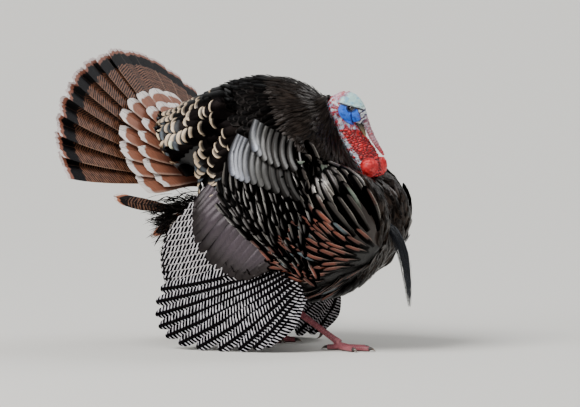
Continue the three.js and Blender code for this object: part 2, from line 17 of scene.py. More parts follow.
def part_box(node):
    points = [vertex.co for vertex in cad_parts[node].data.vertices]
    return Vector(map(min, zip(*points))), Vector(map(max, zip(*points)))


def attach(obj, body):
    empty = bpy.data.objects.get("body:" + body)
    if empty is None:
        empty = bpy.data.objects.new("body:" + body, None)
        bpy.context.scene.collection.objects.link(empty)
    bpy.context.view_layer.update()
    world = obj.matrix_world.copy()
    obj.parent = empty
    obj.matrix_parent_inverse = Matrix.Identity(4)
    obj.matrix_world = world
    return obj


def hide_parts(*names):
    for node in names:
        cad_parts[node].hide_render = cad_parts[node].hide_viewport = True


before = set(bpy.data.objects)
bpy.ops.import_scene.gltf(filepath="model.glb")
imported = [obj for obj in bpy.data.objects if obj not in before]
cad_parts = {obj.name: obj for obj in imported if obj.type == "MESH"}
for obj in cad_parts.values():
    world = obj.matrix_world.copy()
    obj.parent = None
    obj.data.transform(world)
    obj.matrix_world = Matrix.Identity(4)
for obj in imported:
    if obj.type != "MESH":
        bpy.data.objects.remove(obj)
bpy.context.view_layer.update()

LOG = logging.getLogger("turkey")
Array = np.ndarray
Random = np.random.Generator
Material = bpy.types.Material
Three = tuple[Array, Array, Array]
MM = 0.001
RIGHT, LEFT = -1.0, 1.0
NO_QUADS = np.zeros((0, 4), int)


def unit(vectors: Array) -> Array:
    """Scales vectors to length one."""
    v = np.asarray(vectors, float)
    return v / np.maximum(np.linalg.norm(v, axis=-1, keepdims=True), 1e-9)


def ramp(low: float, high: float, value: Array) -> Array:
    """Rises smoothly from 0 at low to 1 at high."""
    t = np.clip((np.asarray(value, float) - low) / (high - low), 0.0, 1.0)
    return t * t * (3.0 - 2.0 * t)


def blend(a: Array, b: Array, share: Array) -> Array:
    """Mixes two rows of values by a share for each row."""
    return a + (b - a) * np.asarray(share, float)[..., None]


def linear(code: str) -> Array:
    """Turns an sRGB hex colour into linear red, green and blue."""
    parts = np.array([int(code[i : i + 2], 16) for i in (1, 3, 5)], float) / 255.0
    return np.where(parts <= 0.04045, parts / 12.92, ((parts + 0.055) / 1.055) ** 2.4)


def paint(colour: Array, code: str, share: Array) -> Array:
    """Lays an sRGB hex colour over others by a share for each row."""
    return blend(colour, linear(code), share)


def mix(first: str, second: str, share: Array) -> Array:
    """Mixes two sRGB hex colours by a share for each row."""
    return paint(linear(first), second, share)


def dice(cell: Array, salt: int) -> Array:
    """Repeatable numbers from 0 to 1, one for each whole-numbered cell.

    Args:
        cell: Whole numbers, three a cell.
        salt: Picks one of many series.

    Returns:
        A number for each cell.
    """
    c = cell.astype(np.int64)
    n = (c[..., 0] * 73856093) ^ (c[..., 1] * 19349663) ^ (c[..., 2] * 83492791) ^ (salt * 40503)
    n = (n ^ (n >> 13)) * 1274126177 & 0x7FFFFFFF
    n = (n ^ (n >> 15)) * 1103515245 & 0x7FFFFFFF
    return n / float(0x7FFFFFFF)


def cloud(points: Array, size: float, salt: int) -> Array:
    """Soft noise from 0 to 1 with lumps of about the given size.

    Args:
        points: Places, millimetres.
        size: Lump size, millimetres.
        salt: Picks one of many noises.

    Returns:
        One value for each place.
    """
    p = points / size
    base = np.floor(p)
    f = p - base
    f = f * f * (3.0 - 2.0 * f)
    total = np.zeros(len(points))
    for corner in np.ndindex(2, 2, 2):
        k = np.array(corner)
        weight = np.prod(np.where(k == 1, f, 1.0 - f), axis=-1)
        total += weight * dice(base + k, salt)
    return total


def pebbles(points: Array, size: float, salt: int) -> Three:
    """Distances to the nearest and second nearest of scattered seeds.

    Args:
        points: Places, millimetres.
        size: Mean spacing of the seeds, millimetres.
        salt: Picks one of many scatters.

    Returns:
        Nearest and second distance as shares of size, and a number for the nearest seed.
    """
    p = points / size
    base = np.floor(p)
    first = np.full(len(points), 9.0)
    second = np.full(len(points), 9.0)
    owner = np.zeros(len(points))
    for corner in np.ndindex(3, 3, 3):
        cell = base + np.array(corner) - 1
        seed = cell + np.stack([dice(cell, salt + k) for k in range(3)], axis=-1)
        gap = np.linalg.norm(p - seed, axis=-1)
        closer = gap < first
        second = np.where(closer, first, np.minimum(second, gap))
        owner = np.where(closer, dice(cell, salt + 7), owner)
        first = np.minimum(first, gap)
    return first, second, owner


@dataclass(frozen=True)
class Path:
    """A smooth curve through a few points."""

    points: tuple

    def at(self, share: Array) -> Array:
        """Places at shares 0 to 1 of the curve.

        Args:
            share: Shares of its length.

        Returns:
            A place for each.
        """
        pts = np.array(self.points, float)
        pts = np.vstack([2 * pts[0] - pts[1], pts, 2 * pts[-1] - pts[-2]])
        s = np.clip(np.asarray(share, float), 0, 1) * (len(self.points) - 1)
        i = np.minimum(s.astype(int), len(self.points) - 2)
        w = (s - i)[:, None]
        a, b, c, d = (pts[i + k] for k in range(4))
        g0, g1, g2 = (
            np.sqrt(np.linalg.norm(v - u, axis=-1, keepdims=True)) + 1e-6
            for u, v in ((a, b), (b, c), (c, d))
        )
        t1 = ((b - a) / g0 - (c - a) / (g0 + g1) + (c - b) / g1) * g1
        t2 = ((c - b) / g1 - (d - b) / (g1 + g2) + (d - c) / g2) * g1
        return b + t1 * w + (3 * (c - b) - 2 * t1 - t2) * w**2 + (2 * (b - c) + t1 + t2) * w**3


# ------------------------------------------------------------------ measures shared by the parts
HEAD_CENTRE = np.array([92.0, 0.0, 567.0])
BILL_AXIS = unit([0.67, 0.0, -0.74])
CROWN_AXIS = unit([0.74, 0.0, 0.67])
EYE_ALONG, EYE_OUT, EYE_SIDE, EYE_FLATNESS = 11.0, 23.4, 22.0, 0.8


def head_point(along: float, out: float, y: float = 0.0) -> Array:
    """A place on the head, along the bill's axis and out toward the crown."""
    p = HEAD_CENTRE + BILL_AXIS * along + CROWN_AXIS * out
    return np.array([p[0], y, p[2]])


def find_shift() -> Array:
    """The shared frame's origin, found from where the right eye sits in it."""
    low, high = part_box("eye_right")
    return np.array((low + high) / 2) / MM - head_point(EYE_ALONG, EYE_OUT, -EYE_SIDE)


SHIFT = find_shift()
HULL_VOXEL = 6.0
BODY_NODES = ("neck_feathered", "breast", "mantle", "belly", "rump_upper", "rump_lower")
HEAD_NODES = ("head", "neck", "snood", "caruncle_right", "caruncle_left")
TAIL_ROOT = np.array([-268.0, 0.0, 387.0])
TAIL_SPREAD = 79.0
TAIL_DISH = math.radians(14.2)


def tail_axes() -> Three:
    """The fan's up, front and side directions.

    Returns:
        Up, front and side, each a unit direction.
    """
    lean, roll, yaw = (math.radians(a) for a in (41.7, -5.0, -12.6))
    turn_x = np.array([[1, 0, 0], [0, math.cos(roll), -math.sin(roll)], [0, math.sin(roll), math.cos(roll)]])
    turn_z = np.array([[math.cos(yaw), -math.sin(yaw), 0], [math.sin(yaw), math.cos(yaw), 0], [0, 0, 1]])
    turn = turn_z @ turn_x
    up = turn @ np.array([-math.sin(lean), 0, math.cos(lean)])
    front = turn @ np.array([math.cos(lean), 0, math.sin(lean)])
    return up, front, turn @ np.array([0.0, -1.0, 0.0])


TAIL_UP, TAIL_FRONT, TAIL_SIDE = tail_axes()
ARM_TOP = ((66, -140, 462), (12, -128, 518), (-58, -120, 534), (-126, -120, 504), (-178, -124, 444),
           (-206, -130, 392))
ARM_EDGE = ((50, -172, 236), (4, -180, 190), (-62, -186, 178), (-112, -186, 182), (-174, -178, 226),
            (-212, -160, 300))
FAR_WING_SHIFT = -36.0
SECONDARY_ROOTS = Path(((-160, -128, 396), (-104, -146, 334), (-46, -160, 276), (8, -168, 222)))
SECONDARY_TIPS = Path(((-222, -140, 366), (-264, -152, 316), (-297, -164, 274), (-309, -176, 232),
                       (-307, -183, 194), (-293, -190, 150)))
PRIMARY_ROOTS = Path(((4, -158, 222), (30, -158, 184), (46, -150, 132)))
PRIMARY_TIPS = Path(((-301, -200, 142), (-313, -204, 104), (-309, -208, 66), (-290, -212, 36),
                     (-250, -215, 14), (-188, -217, 5), (-116, -216, 5), (-64, -211, 9), (-34, -205, 18)))
SNOOD = Path(((138, 1, 560), (143, 5, 542), (151, 9, 518), (165, 11, 492), (181, 11, 471), (187, 11, 462)))
NECK_LINE = Path(((60, 0, 590), (78, 0, 556), (98, 0, 522), (120, 0, 492), (143, 0, 463), (160, 0, 436),
                  (166, 0, 412)))


@dataclass(frozen=True)
class Leg:
    """Where one leg's joints are."""

    side: float
    name: str
    hock: tuple
    ankle: tuple
    turn: float


LEGS = (
    Leg(RIGHT, "right", (-24, 64, 101), (104, 62, 17), -4.0),
    Leg(LEFT, "left", (-206, 66, 156), (-150, 62, 17), 8.0),
)
TOES = ((0.0, 80.0), (30.0, 60.0), (-32.0, 62.0), (172.0, 30.0))
TOE_HEIGHT = 6.6


# ------------------------------------------------------------------ meshes
@dataclass
class Cloth:
    """Points and faces on their way to becoming a mesh, with what their material reads."""

    points: Array
    quads: Array
    tris: Array = field(default_factory=lambda: np.zeros((0, 3), int))
    vectors: dict = field(default_factory=dict)
    colours: dict = field(default_factory=dict)
    uv: Array | None = None


def join_all(cloths: list[Cloth]) -> Cloth:
    """Joins surfaces into one.

    Args:
        cloths: The surfaces, all of which carry the same things.

    Returns:
        All of them as one, without a baking map.
    """
    starts = np.cumsum([0] + [len(c.points) for c in cloths[:-1]])
    return Cloth(
        np.vstack([c.points for c in cloths]),
        np.vstack([c.quads + start for c, start in zip(cloths, starts)]),
        np.vstack([c.tris + start for c, start in zip(cloths, starts)]),
        {key: np.vstack([c.vectors[key] for c in cloths]) for key in cloths[0].vectors},
        {key: np.vstack([c.colours[key] for c in cloths]) for key in cloths[0].colours},
    )


def put(name: str, data: bpy.types.ID) -> bpy.types.Object:
    """Puts a new object in the scene.

    Args:
        name: Its name.
        data: What it holds.

    Returns:
        The object.
    """
    thing = bpy.data.objects.new(name, data)
    bpy.context.scene.collection.objects.link(thing)
    return thing


def numbers(mesh: bpy.types.Mesh) -> tuple[Array, Array]:
    """Reads a mesh.

    Args:
        mesh: The mesh.

    Returns:
        Its points and triangles.
    """
    points = np.zeros(len(mesh.vertices) * 3)
    mesh.vertices.foreach_get("co", points)
    mesh.calc_loop_triangles()
    tris = np.zeros(len(mesh.loop_triangles) * 3, np.int32)
    mesh.loop_triangles.foreach_get("vertices", tris)
    return points.reshape(-1, 3), tris.reshape(-1, 3)


def make_piece(name: str, cloth: Cloth, material: Material, nodes: list[str]) -> None:
    """Makes the object, in the shared frame, under the root body, and hides the solids it stands for.

    Args:
        name: The piece's name.
        cloth: Its points, faces and what the material reads.
        material: What it is made of.
        nodes: The solids that it replaces.
    """
    mesh = bpy.data.meshes.new(name)
    points = (cloth.points + SHIFT) * MM
    corners = np.concatenate([cloth.quads.ravel(), cloth.tris.ravel()]).astype(np.int32)
    counts = np.concatenate([np.full(len(cloth.quads), 4), np.full(len(cloth.tris), 3)])
    mesh.vertices.add(len(points))
    mesh.vertices.foreach_set("co", points.astype(np.float32).ravel())
    mesh.loops.add(len(corners))
    mesh.loops.foreach_set("vertex_index", corners)
    mesh.polygons.add(len(counts))
    mesh.polygons.foreach_set("loop_start", (np.cumsum(counts) - counts).astype(np.int32))
    mesh.update(calc_edges=True)
    mesh.polygons.foreach_set("use_smooth", np.ones(len(counts), bool))
    for key, values in cloth.vectors.items():
        carried = mesh.attributes.new(key, "FLOAT_VECTOR", "POINT")
        carried.data.foreach_set("vector", values.astype(np.float32).ravel())
    for key, values in cloth.colours.items():
        full = np.hstack([values, np.ones((len(values), 1))])
        carried = mesh.attributes.new(key, "FLOAT_COLOR", "POINT")
        carried.data.foreach_set("color", full.astype(np.float32).ravel())
    if cloth.uv is not None:
        layer = mesh.uv_layers.new(name="OFBake")
        layer.data.foreach_set("uv", cloth.uv[corners].astype(np.float32).ravel())
    mesh.materials.append(material)
    piece = put(name, mesh)
    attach(piece, "root")
    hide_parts(*nodes)
    LOG.info("%s: %d faces", name, len(counts))


def tube(line: Array, radii: Array, sides: int, squash: float = 1.0) -> Cloth:
    """A closed round thread along a line, pointed where its radius is nought.

    Args:
        line: Places along the middle.
        radii: A radius for each place.
        sides: Faces round it.
        squash: Depth as a share of width.

    Returns:
        The closed surface.
    """
    ahead = unit(np.gradient(line, axis=0))
    hint = np.array([0.0, 1.0, 0.0]) if abs(ahead[0][1]) < 0.8 else np.array([1.0, 0.0, 0.0])
    wide = unit(np.cross(ahead, hint))
    deep = np.cross(ahead, wide)
    angle = np.linspace(0, 2 * math.pi, sides, endpoint=False)
    c, d = (v[None, :, None] for v in (np.cos(angle), squash * np.sin(angle)))
    ring = wide[:, None] * c + deep[:, None] * d
    points = (line[:, None] + ring * radii[:, None, None]).reshape(-1, 3)
    n = len(line)
    i, k = np.meshgrid(np.arange(n - 1), np.arange(sides), indexing="ij")
    a, b = i * sides + k, i * sides + (k + 1) % sides
    quads = np.stack([a, b, b + sides, a + sides], axis=-1).reshape(-1, 4)
    ends = len(points)
    points = np.vstack([points, line[0], line[-1]])
    k = np.arange(sides)
    after = (k + 1) % sides
    last = (n - 1) * sides
    tris = np.vstack([
        np.stack([np.full(sides, ends), after, k], axis=-1),
        np.stack([np.full(sides, ends + 1), last + k, last + after], axis=-1),
    ])
    return Cloth(points, quads, tris)


# ------------------------------------------------------------------ vanes
@dataclass(frozen=True)
class Vane:
    """The outline and section shared by feathers of one sort."""

    rows: int = 6
    columns: int = 4
    notch: float = 0.3
    roundness: float = 2.2
    root_width: float = 0.4
    widest: float = 0.6
    tip_width: float = 0.86
    camber: float = 0.1
    thickness: float = 0.7
    ridge: float = 0.3
    ragged: float = 0.0
    crowd: float = 1.5

    def shares(self) -> Array:
        """How far along each row of points lies, closer together toward the tip."""
        return 1 - (1 - np.linspace(0, 1, self.rows + 1)) ** self.crowd

    def grow(self, line: Array, side: Array, up: Array, width: Array, rng: Random) -> Cloth:
        """Makes closed vanes about their middle lines.

        Args:
            line: For each feather, evenly spaced places from root to tip.
            side: Across directions at those places.
            up: Outward directions at those places.
            width: Full width of each feather.
            rng: The source of chance.

        Returns:
            The vanes; vane holds across, along and the distance to the tip in millimetres, and
            look holds a number for the feather, the share across and the length.
        """
        n, k = line.shape[:2]
        length = np.linalg.norm(np.diff(line, axis=1), axis=-1).sum(axis=1)
        rows, cols = np.meshgrid(self.shares(), np.linspace(-1, 1, self.columns + 1), indexing="ij")
        uneven = rng.normal(0, 1, (n, 1, self.columns + 1)) * self.ragged / length[:, None, None]
        reach = 1 - self.notch * np.abs(cols[None]) ** self.roundness * np.ones((n, 1, 1)) + uneven
        share = rows[None] * (1 + (reach - 1) * rows[None])
        spot = np.clip(share * (k - 1), 0, k - 1 - 1e-6)
        low = spot.astype(int)
        w = (spot - low)[..., None]
        who = np.arange(n)[:, None, None]
        place, across, out = (v[who, low] * (1 - w) + v[who, low + 1] * w for v in (line, side, up))
        swell = self.root_width + (1 - self.root_width) * ramp(0, self.widest, rows)
        swell = swell * (1 - (1 - self.tip_width) * ramp(self.widest, 1, rows))
        half = width[:, None, None] / 2 * swell[None]
        ridge = self.ridge * np.maximum(0, 1 - 4 * np.abs(cols)) * (1 - rows)
        lift = -self.camber * 2 * half * cols**2 + ridge
        top = place + across * (cols[None] * half)[..., None] + out * lift[..., None]
        deep = self.thickness * (1 - cols**2) * np.sqrt(np.sin(math.pi * rows))
        bottom = top - out * deep[None, ..., None]
        per = (self.rows + 1) * (self.columns + 1)
        j, c = np.meshgrid(np.arange(self.rows), np.arange(self.columns), indexing="ij")
        a = (j * (self.columns + 1) + c).ravel()
        face = np.stack([a, a + 1, a + self.columns + 2, a + self.columns + 1], axis=-1)
        start = (np.arange(n) * 2 * per)[:, None, None]
        under = face[:, ::-1][None] + start + per
        over = face[None] + start
        points = np.stack([top, bottom], axis=1).reshape(-1, 3)
        vane = np.stack([cols[None] * half, share * length[:, None, None],
                         (reach - share) * length[:, None, None]], -1)
        number = rng.random(n)[:, None, None] * np.ones_like(share)
        look = np.stack([number, cols[None] + 0 * share, length[:, None, None] + 0 * share], -1)
        both = [np.stack([v, v], axis=1).reshape(-1, 3) for v in (vane, look)]
        return Cloth(points, np.vstack([under.reshape(-1, 4), over.reshape(-1, 4)]),
                     vectors={"vane": both[0], "look": both[1]})

    def corners(self) -> tuple[Array, Array]:
        """The share across and along at each point of one feather, both faces."""
        rows, cols = np.meshgrid(self.shares(), np.linspace(-1, 1, self.columns + 1), indexing="ij")
        return np.tile(cols.ravel(), 2), np.tile(rows.ravel(), 2)

    def patches(self, spots: Array, size: float = 0.003) -> Array:
        """A little patch of the baking map for each feather, at its root's place.

        Args:
            spots: Places on the map, from 0 to 1.
            size: Width of a patch.

        Returns:
            Map places of every point.
        """
        c, r = self.corners()
        local = np.stack([c / 2, r - 0.5], axis=-1) * size
        return (spots[:, None] + local[None]).reshape(-1, 2)

    def strips(self, count: int, tall: int = 1) -> Array:
        """A long strip of the baking map for each feather, side by side in rows.

        Args:
            count: How many feathers.
            tall: Rows of strips.

        Returns:
            Map places of every point.
        """
        c, r = self.corners()
        wide = math.ceil(count / tall)
        i = np.arange(count)
        u = (i % wide)[:, None] + 0.06 + 0.88 * (c[None] + 1) / 2
        v = (i // wide)[:, None] + 0.03 + 0.94 * r[None]
        return np.stack([u / wide, v / tall], axis=-1).reshape(-1, 2)


def straight(root: Array, tip: Array, out: Array, count: int, bow: Array, sweep: Array) -> Three:
    """Middle lines from roots to tips, bowed outward and swept sideways.

    Args:
        root: Root of each feather.
        tip: Tip of each feather.
        out: Outward direction of each feather.
        count: Places along each.
        bow: Height of the bow of each.
        sweep: Sideways bend of each.

    Returns:
        Lines, across directions and outward directions.
    """
    t = np.linspace(0, 1, count)[None, :, None]
    ahead = unit(tip - root)
    up = unit(out - ahead * np.sum(out * ahead, -1, keepdims=True))
    side = np.cross(ahead, up)
    arc = 4 * t * (1 - t)
    line = root[:, None] * (1 - t) + tip[:, None] * t
    for way, much in ((up, bow), (side, sweep)):
        line = line + way[:, None] * arc * np.reshape(much, (-1, 1, 1))
    forward = unit(np.gradient(line, axis=1))
    ups = unit(up[:, None] - forward * np.sum(up[:, None] * forward, -1, keepdims=True))
    return line, np.cross(forward, ups), ups


def tilted(side: Array, up: Array, angle: Array) -> tuple[Array, Array]:
    """Turns across and outward directions about the feathers' length by an angle each."""
    c, s = np.cos(angle)[:, None, None], np.sin(angle)[:, None, None]
    return side * c + up * s, up * c - side * s


# ------------------------------------------------------------------ materials
Socket = bpy.types.NodeSocket
PLUS, LESS, TIMES, WAVE, SIZE = (
    ("Math", {"operation": o}) for o in ("ADD", "SUBTRACT", "MULTIPLY", "SINE", "ABSOLUTE")
)
RISE = ("MapRange", {"interpolation_type": "SMOOTHSTEP"})
MIX = ("Mix", {"data_type": "RGBA"})
COLOUR = ("Attribute", {"attribute_name": "colour"})
NOISE, BUMP, JOIN, SPLIT, GREY = (
    (kind, {}) for kind in ("TexNoise", "Bump", "CombineXYZ", "SeparateXYZ", "RGBToBW")
)
BLACK = (0.0, 0.0, 0.0, 1.0)


class Shader:
    """A material and its nodes."""

    def __init__(self, name: str) -> None:
        """Starts a material with one glossy surface.

        Args:
            name: Its name.
        """
        self.material = bpy.data.materials.new(name)
        self.material.use_nodes = True
        self.tree = self.material.node_tree
        self.surface = self.tree.nodes["Principled BSDF"]

    def add(self, kind: tuple[str, dict], *values: object, take: int = 0, **named: object) -> Socket:
        """Adds a node with its settings and links.

        Args:
            kind: The node's type, without the prefix that all share, and its properties by name.
            *values: Inputs in order, each a value or another node's output.
            take: Which output to hand back.
            **named: More inputs, by name.

        Returns:
            One of the node's outputs.
        """
        node = self.tree.nodes.new("ShaderNode" + kind[0])
        for key, value in kind[1].items():
            setattr(node, key, value)
        inputs = [socket for socket in node.inputs if socket.enabled]
        self.wire([*zip(inputs, values), *((node.inputs[key], value) for key, value in named.items())])
        return [socket for socket in node.outputs if socket.enabled][take]

    def wire(self, pairs: list) -> None:
        """Sets or links inputs.

        Args:
            pairs: Each an input and its value, or the output that feeds it.
        """
        for socket, value in pairs:
            if isinstance(value, Socket):
                self.tree.links.new(value, socket)
            else:
                socket.default_value = value

    def parts(self, name: str) -> tuple[Socket, Socket, Socket]:
        """The three numbers of a carried vector.

        Args:
            name: Name of the vector.

        Returns:
            Its three outputs.
        """
        vector = self.add(("Attribute", {"attribute_name": name}), take=1)
        first = self.add(SPLIT, vector)
        return tuple(first.node.outputs)

    def finish(self, **inputs: object) -> Material:
        """Wires the surface's inputs, named with underscores, and gives the material."""
        self.wire([(self.surface.inputs[key.replace("_", " ")], value) for key, value in inputs.items()])
        return self.material


def rgba(code: str) -> tuple[float, ...]:
    """An sRGB hex colour as a linear colour with full alpha."""
    return (*linear(code), 1.0)


class Feather(Enum):
    """Patterns of the big feathers."""

    TAIL = "tail feather, rust with a black band"
    COVERT = "upper tail covert, chestnut with a pale tip"
    PRIMARY = "primary, barred black and white"
    SECONDARY = "secondary, checked grey and black"
    LOOSE = "undertail covert, barred with a rust and white tip"


@dataclass(frozen=True)
class Spot:
    """Where a place is on its feather: distances in millimetres, then numbers."""

    off: Socket
    along: Socket
    tip: Socket
    wobble: Socket
    number: Socket
    share: Socket


@dataclass(frozen=True)
class Plumage:
    """Keratin vanes: barbs give a fine slanting grain, a satin gloss and a soft metal glint."""

    name: str = "feather vanes"
    roughness: float = 0.36
    metallic: float = 0.1
    specular: float = 0.22
    barb: float = 1.1

    def grain(self, s: Shader) -> tuple[Socket, Socket]:
        """The barbs' grain.

        Args:
            s: The material being made.

        Returns:
            How clumped the barbs are, and the slanting place that follows them.
        """
        across, along, _ = s.parts("vane")
        number, _, _ = s.parts("look")
        slant = s.add(PLUS, along, s.add(TIMES, s.add(SIZE, across), 0.8))
        narrow, apart = s.add(TIMES, across, 0.12), s.add(TIMES, number, 90.0)
        where = s.add(JOIN, slant, narrow, apart)
        return s.add(NOISE, where, 0.55, 3.0), where

    def bump(self, s: Shader, where: Socket) -> Socket:
        """Fine ridges along the barbs."""
        return s.add(BUMP, 0.35, 0.0006, Height=s.add(NOISE, where, self.barb, 2.0))

    def metal(self, s: Shader, colour: Socket, least: float) -> Socket:
        """The metal share: full on black, so that it takes no white sheen, and less on paler parts.

        Args:
            s: The material being made.
            colour: Its colour.
            least: The share on the palest parts.

        Returns:
            The share.
        """
        pale = s.add(RISE, s.add(GREY, colour), 0.001, 0.022)
        return s.add(LESS, 1.0, s.add(TIMES, pale, 1.0 - least))

    def body(self) -> Material:
        """Contour feathers, coloured by what each carries.

        Returns:
            The material.
        """
        s = Shader(self.name)
        clump, where = self.grain(s)
        carried = s.add(COLOUR)
        dark = s.add(MIX, 0.55, carried, BLACK)
        colour = s.add(MIX, s.add(RISE, clump, 0.1, 0.95), dark, carried)
        return s.finish(Base_Color=colour, Roughness=self.roughness,
                        Metallic=self.metal(s, carried, self.metallic),
                        Normal=self.bump(s, where), Specular_IOR_Level=self.specular)

    def patterned(self, kind: Feather) -> Material:
        """A big feather of one pattern.

        Args:
            kind: The pattern.

        Returns:
            The material.
        """
        s = Shader(kind.value)
        clump, where = self.grain(s)
        across, along, tip = s.parts("vane")
        number, share, _ = s.parts("look")
        uneven = s.add(LESS, s.add(NOISE, where, 0.16, 2.0), 0.5)
        off = s.add(SIZE, across)
        pattern = {
            Feather.TAIL: self.tail,
            Feather.COVERT: self.covert,
            Feather.PRIMARY: self.primary,
            Feather.SECONDARY: self.secondary,
            Feather.LOOSE: self.loose,
        }[kind]
        colour = pattern(s, Spot(off, along, tip, s.add(TIMES, uneven, 9.0), number, share))
        split = s.add(TIMES, s.add(RISE, clump, 0.35, 0.75), 0.35)
        streak = s.add(MIX, split, colour, BLACK)
        rachis = s.add(LESS, 1.0, s.add(RISE, off, 0.5, 1.3))
        shaft = rgba("#3a2c24") if kind in (Feather.TAIL, Feather.COVERT) else rgba("#15110f")
        done = s.add(MIX, s.add(TIMES, rachis, 0.8), streak, shaft)
        return s.finish(Base_Color=done, Roughness=self.roughness + 0.2, Metallic=self.metal(s, done, 0.0),
                        Normal=self.bump(s, where), Specular_IOR_Level=self.specular)

    def ends(self, s: Shader, edge: Socket, near: float, far: float, rest: Socket, code: str) -> Socket:
        """A colour laid over the end of a feather.

        Args:
            s: The material being made.
            edge: Distance to the tip.
            near: Where the colour is full.
            far: Where it has gone.
            rest: The colour beyond.
            code: The colour of the end.

        Returns:
            Both as one colour.
        """
        share = s.add(LESS, 1.0, s.add(RISE, edge, near, far))
        return s.add(MIX, share, rest, rgba(code))

    def bars(self, s: Shader, phase: Socket, pitch: float) -> Socket:
        """A wave along the feather, from -1 to 1, with the bars' pitch in millimetres."""
        return s.add(WAVE, s.add(TIMES, phase, 2 * math.pi / pitch))

    def tail(self, s: Shader, at: Spot) -> Socket:
        """Rust with fine wavy bars, a black band, a chestnut line and a pale fringe.

        Args:
            s: The material being made.
            at: The place on the feather.

        Returns:
            The colour.
        """
        edge = s.add(PLUS, at.tip, s.add(TIMES, at.wobble, 0.5))
        lean = s.add(PLUS, s.add(TIMES, at.wobble, 0.8), s.add(TIMES, at.off, 0.5))
        bars = self.bars(s, s.add(PLUS, at.along, lean), 6.8)
        rust = s.add(MIX, s.add(RISE, bars, -0.35, 0.2), rgba("#80523a"), rgba("#1d1412"))
        side = s.add(RISE, s.add(SIZE, at.share), 0.955, 0.985)
        rust = s.add(MIX, s.add(TIMES, side, 0.75), rust, rgba("#b38a6c"))
        banded = self.ends(s, edge, 49.0, 52.0, rust, "#070609")
        chestnut = self.ends(s, edge, 15.0, 19.0, banded, "#8a5340")
        return self.ends(s, edge, 6.0, 10.0, chestnut, "#e2d3d0")

    def covert(self, s: Shader, at: Spot) -> Socket:
        """Plain chestnut with paler sides and a broad white tip.

        Args:
            s: The material being made.
            at: The place on the feather.

        Returns:
            The colour.
        """
        edge = s.add(PLUS, at.tip, s.add(TIMES, at.wobble, 0.6))
        deeper = s.add(RISE, edge, 30.0, 80.0)
        plain = s.add(MIX, deeper, rgba("#96604a"), rgba("#6f4232"))
        side = s.add(TIMES, s.add(RISE, s.add(SIZE, at.share), 0.75, 1.0), 0.4)
        return self.ends(s, edge, 15.0, 20.0, s.add(MIX, side, plain, rgba("#d9bfae")), "#f0e7e1")

    def primary(self, s: Shader, at: Spot) -> Socket:
        """White bars on black that stop short of the shaft and slant outward.

        Args:
            s: The material being made.
            at: The place on the feather.

        Returns:
            The colour.
        """
        slanted = s.add(PLUS, at.along, s.add(TIMES, at.off, 0.45))
        wave = s.add(PLUS, slanted, s.add(TIMES, at.wobble, 0.75))
        half = s.add(TIMES, s.add(RISE, at.share, -0.01, 0.01), 3.5)
        moved = s.add(PLUS, wave, s.add(TIMES, at.number, 8.0))
        bars = self.bars(s, s.add(PLUS, moved, half), 8.6)
        broken = s.add(PLUS, bars, s.add(TIMES, at.wobble, 0.06))
        stop = s.add(RISE, at.off, 3.0, 6.0)
        mask = s.add(TIMES, s.add(RISE, broken, 0.35, 0.75), stop)
        return s.add(MIX, mask, rgba("#07060a"), rgba("#d6d2d8"))

    def secondary(self, s: Shader, at: Spot) -> Socket:
        """Broken whitish bars and pale edges on dark grey.

        Args:
            s: The material being made.
            at: The place on the feather.

        Returns:
            The colour.
        """
        slanted = s.add(PLUS, at.along, s.add(TIMES, at.off, 0.6))
        wave = s.add(PLUS, slanted, s.add(TIMES, at.wobble, 0.7))
        bars = self.bars(s, s.add(PLUS, wave, s.add(TIMES, at.number, 10.0)), 10.0)
        stop = s.add(RISE, at.off, 1.0, 4.0)
        mask = s.add(TIMES, s.add(RISE, bars, 0.35, 0.7), stop)
        pale = s.add(MIX, mask, rgba("#0b090d"), rgba("#d2cdd0"))
        edge = s.add(RISE, s.add(SIZE, at.share), 0.84, 0.95)
        return s.add(MIX, s.add(TIMES, edge, 0.7), pale, rgba("#bcb5b5"))

    def loose(self, s: Shader, at: Spot) -> Socket:
        """Rust bars on black, a rust patch and a white tip.

        Args:
            s: The material being made.
            at: The place on the feather.

        Returns:
            The colour.
        """
        lean = s.add(PLUS, at.wobble, s.add(TIMES, at.off, 0.4))
        bars = self.bars(s, s.add(PLUS, at.along, lean), 8.0)
        barred = s.add(MIX, s.add(RISE, bars, 0.0, 0.4), rgba("#1a1516"), rgba("#6d4a38"))
        band = self.ends(s, at.tip, 34.0, 40.0, barred, "#1a1718")
        rust = self.ends(s, at.tip, 16.0, 20.0, band, "#a3654a")
        return self.ends(s, at.tip, 7.0, 10.0, rust, "#e8dcd5")


@dataclass(frozen=True)
class Skin:
    """Living skin: coloured by region, finely wrinkled, a little moist and lit from within."""

    name: str = "bare and scaled skin"
    roughness: float = 0.45

    def material(self) -> Material:
        """Skin coloured by what each point carries.

        Returns:
            The material.
        """
        s = Shader(self.name)
        where = s.add(("Attribute", {"attribute_name": "place"}), take=1)
        fine = s.add(NOISE, where, 0.9, 4.0)
        carried = s.add(COLOUR)
        dark = s.add(MIX, 0.35, carried, BLACK)
        colour = s.add(MIX, s.add(RISE, fine, 0.25, 0.7), dark, carried)
        bump = s.add(BUMP, 0.3, 0.0005, Height=fine)
        return s.finish(Base_Color=colour, Roughness=self.roughness, Normal=bump, Subsurface_Weight=0.08,
                        Subsurface_Radius=(0.004, 0.0015, 0.001), Subsurface_Scale=1.0)


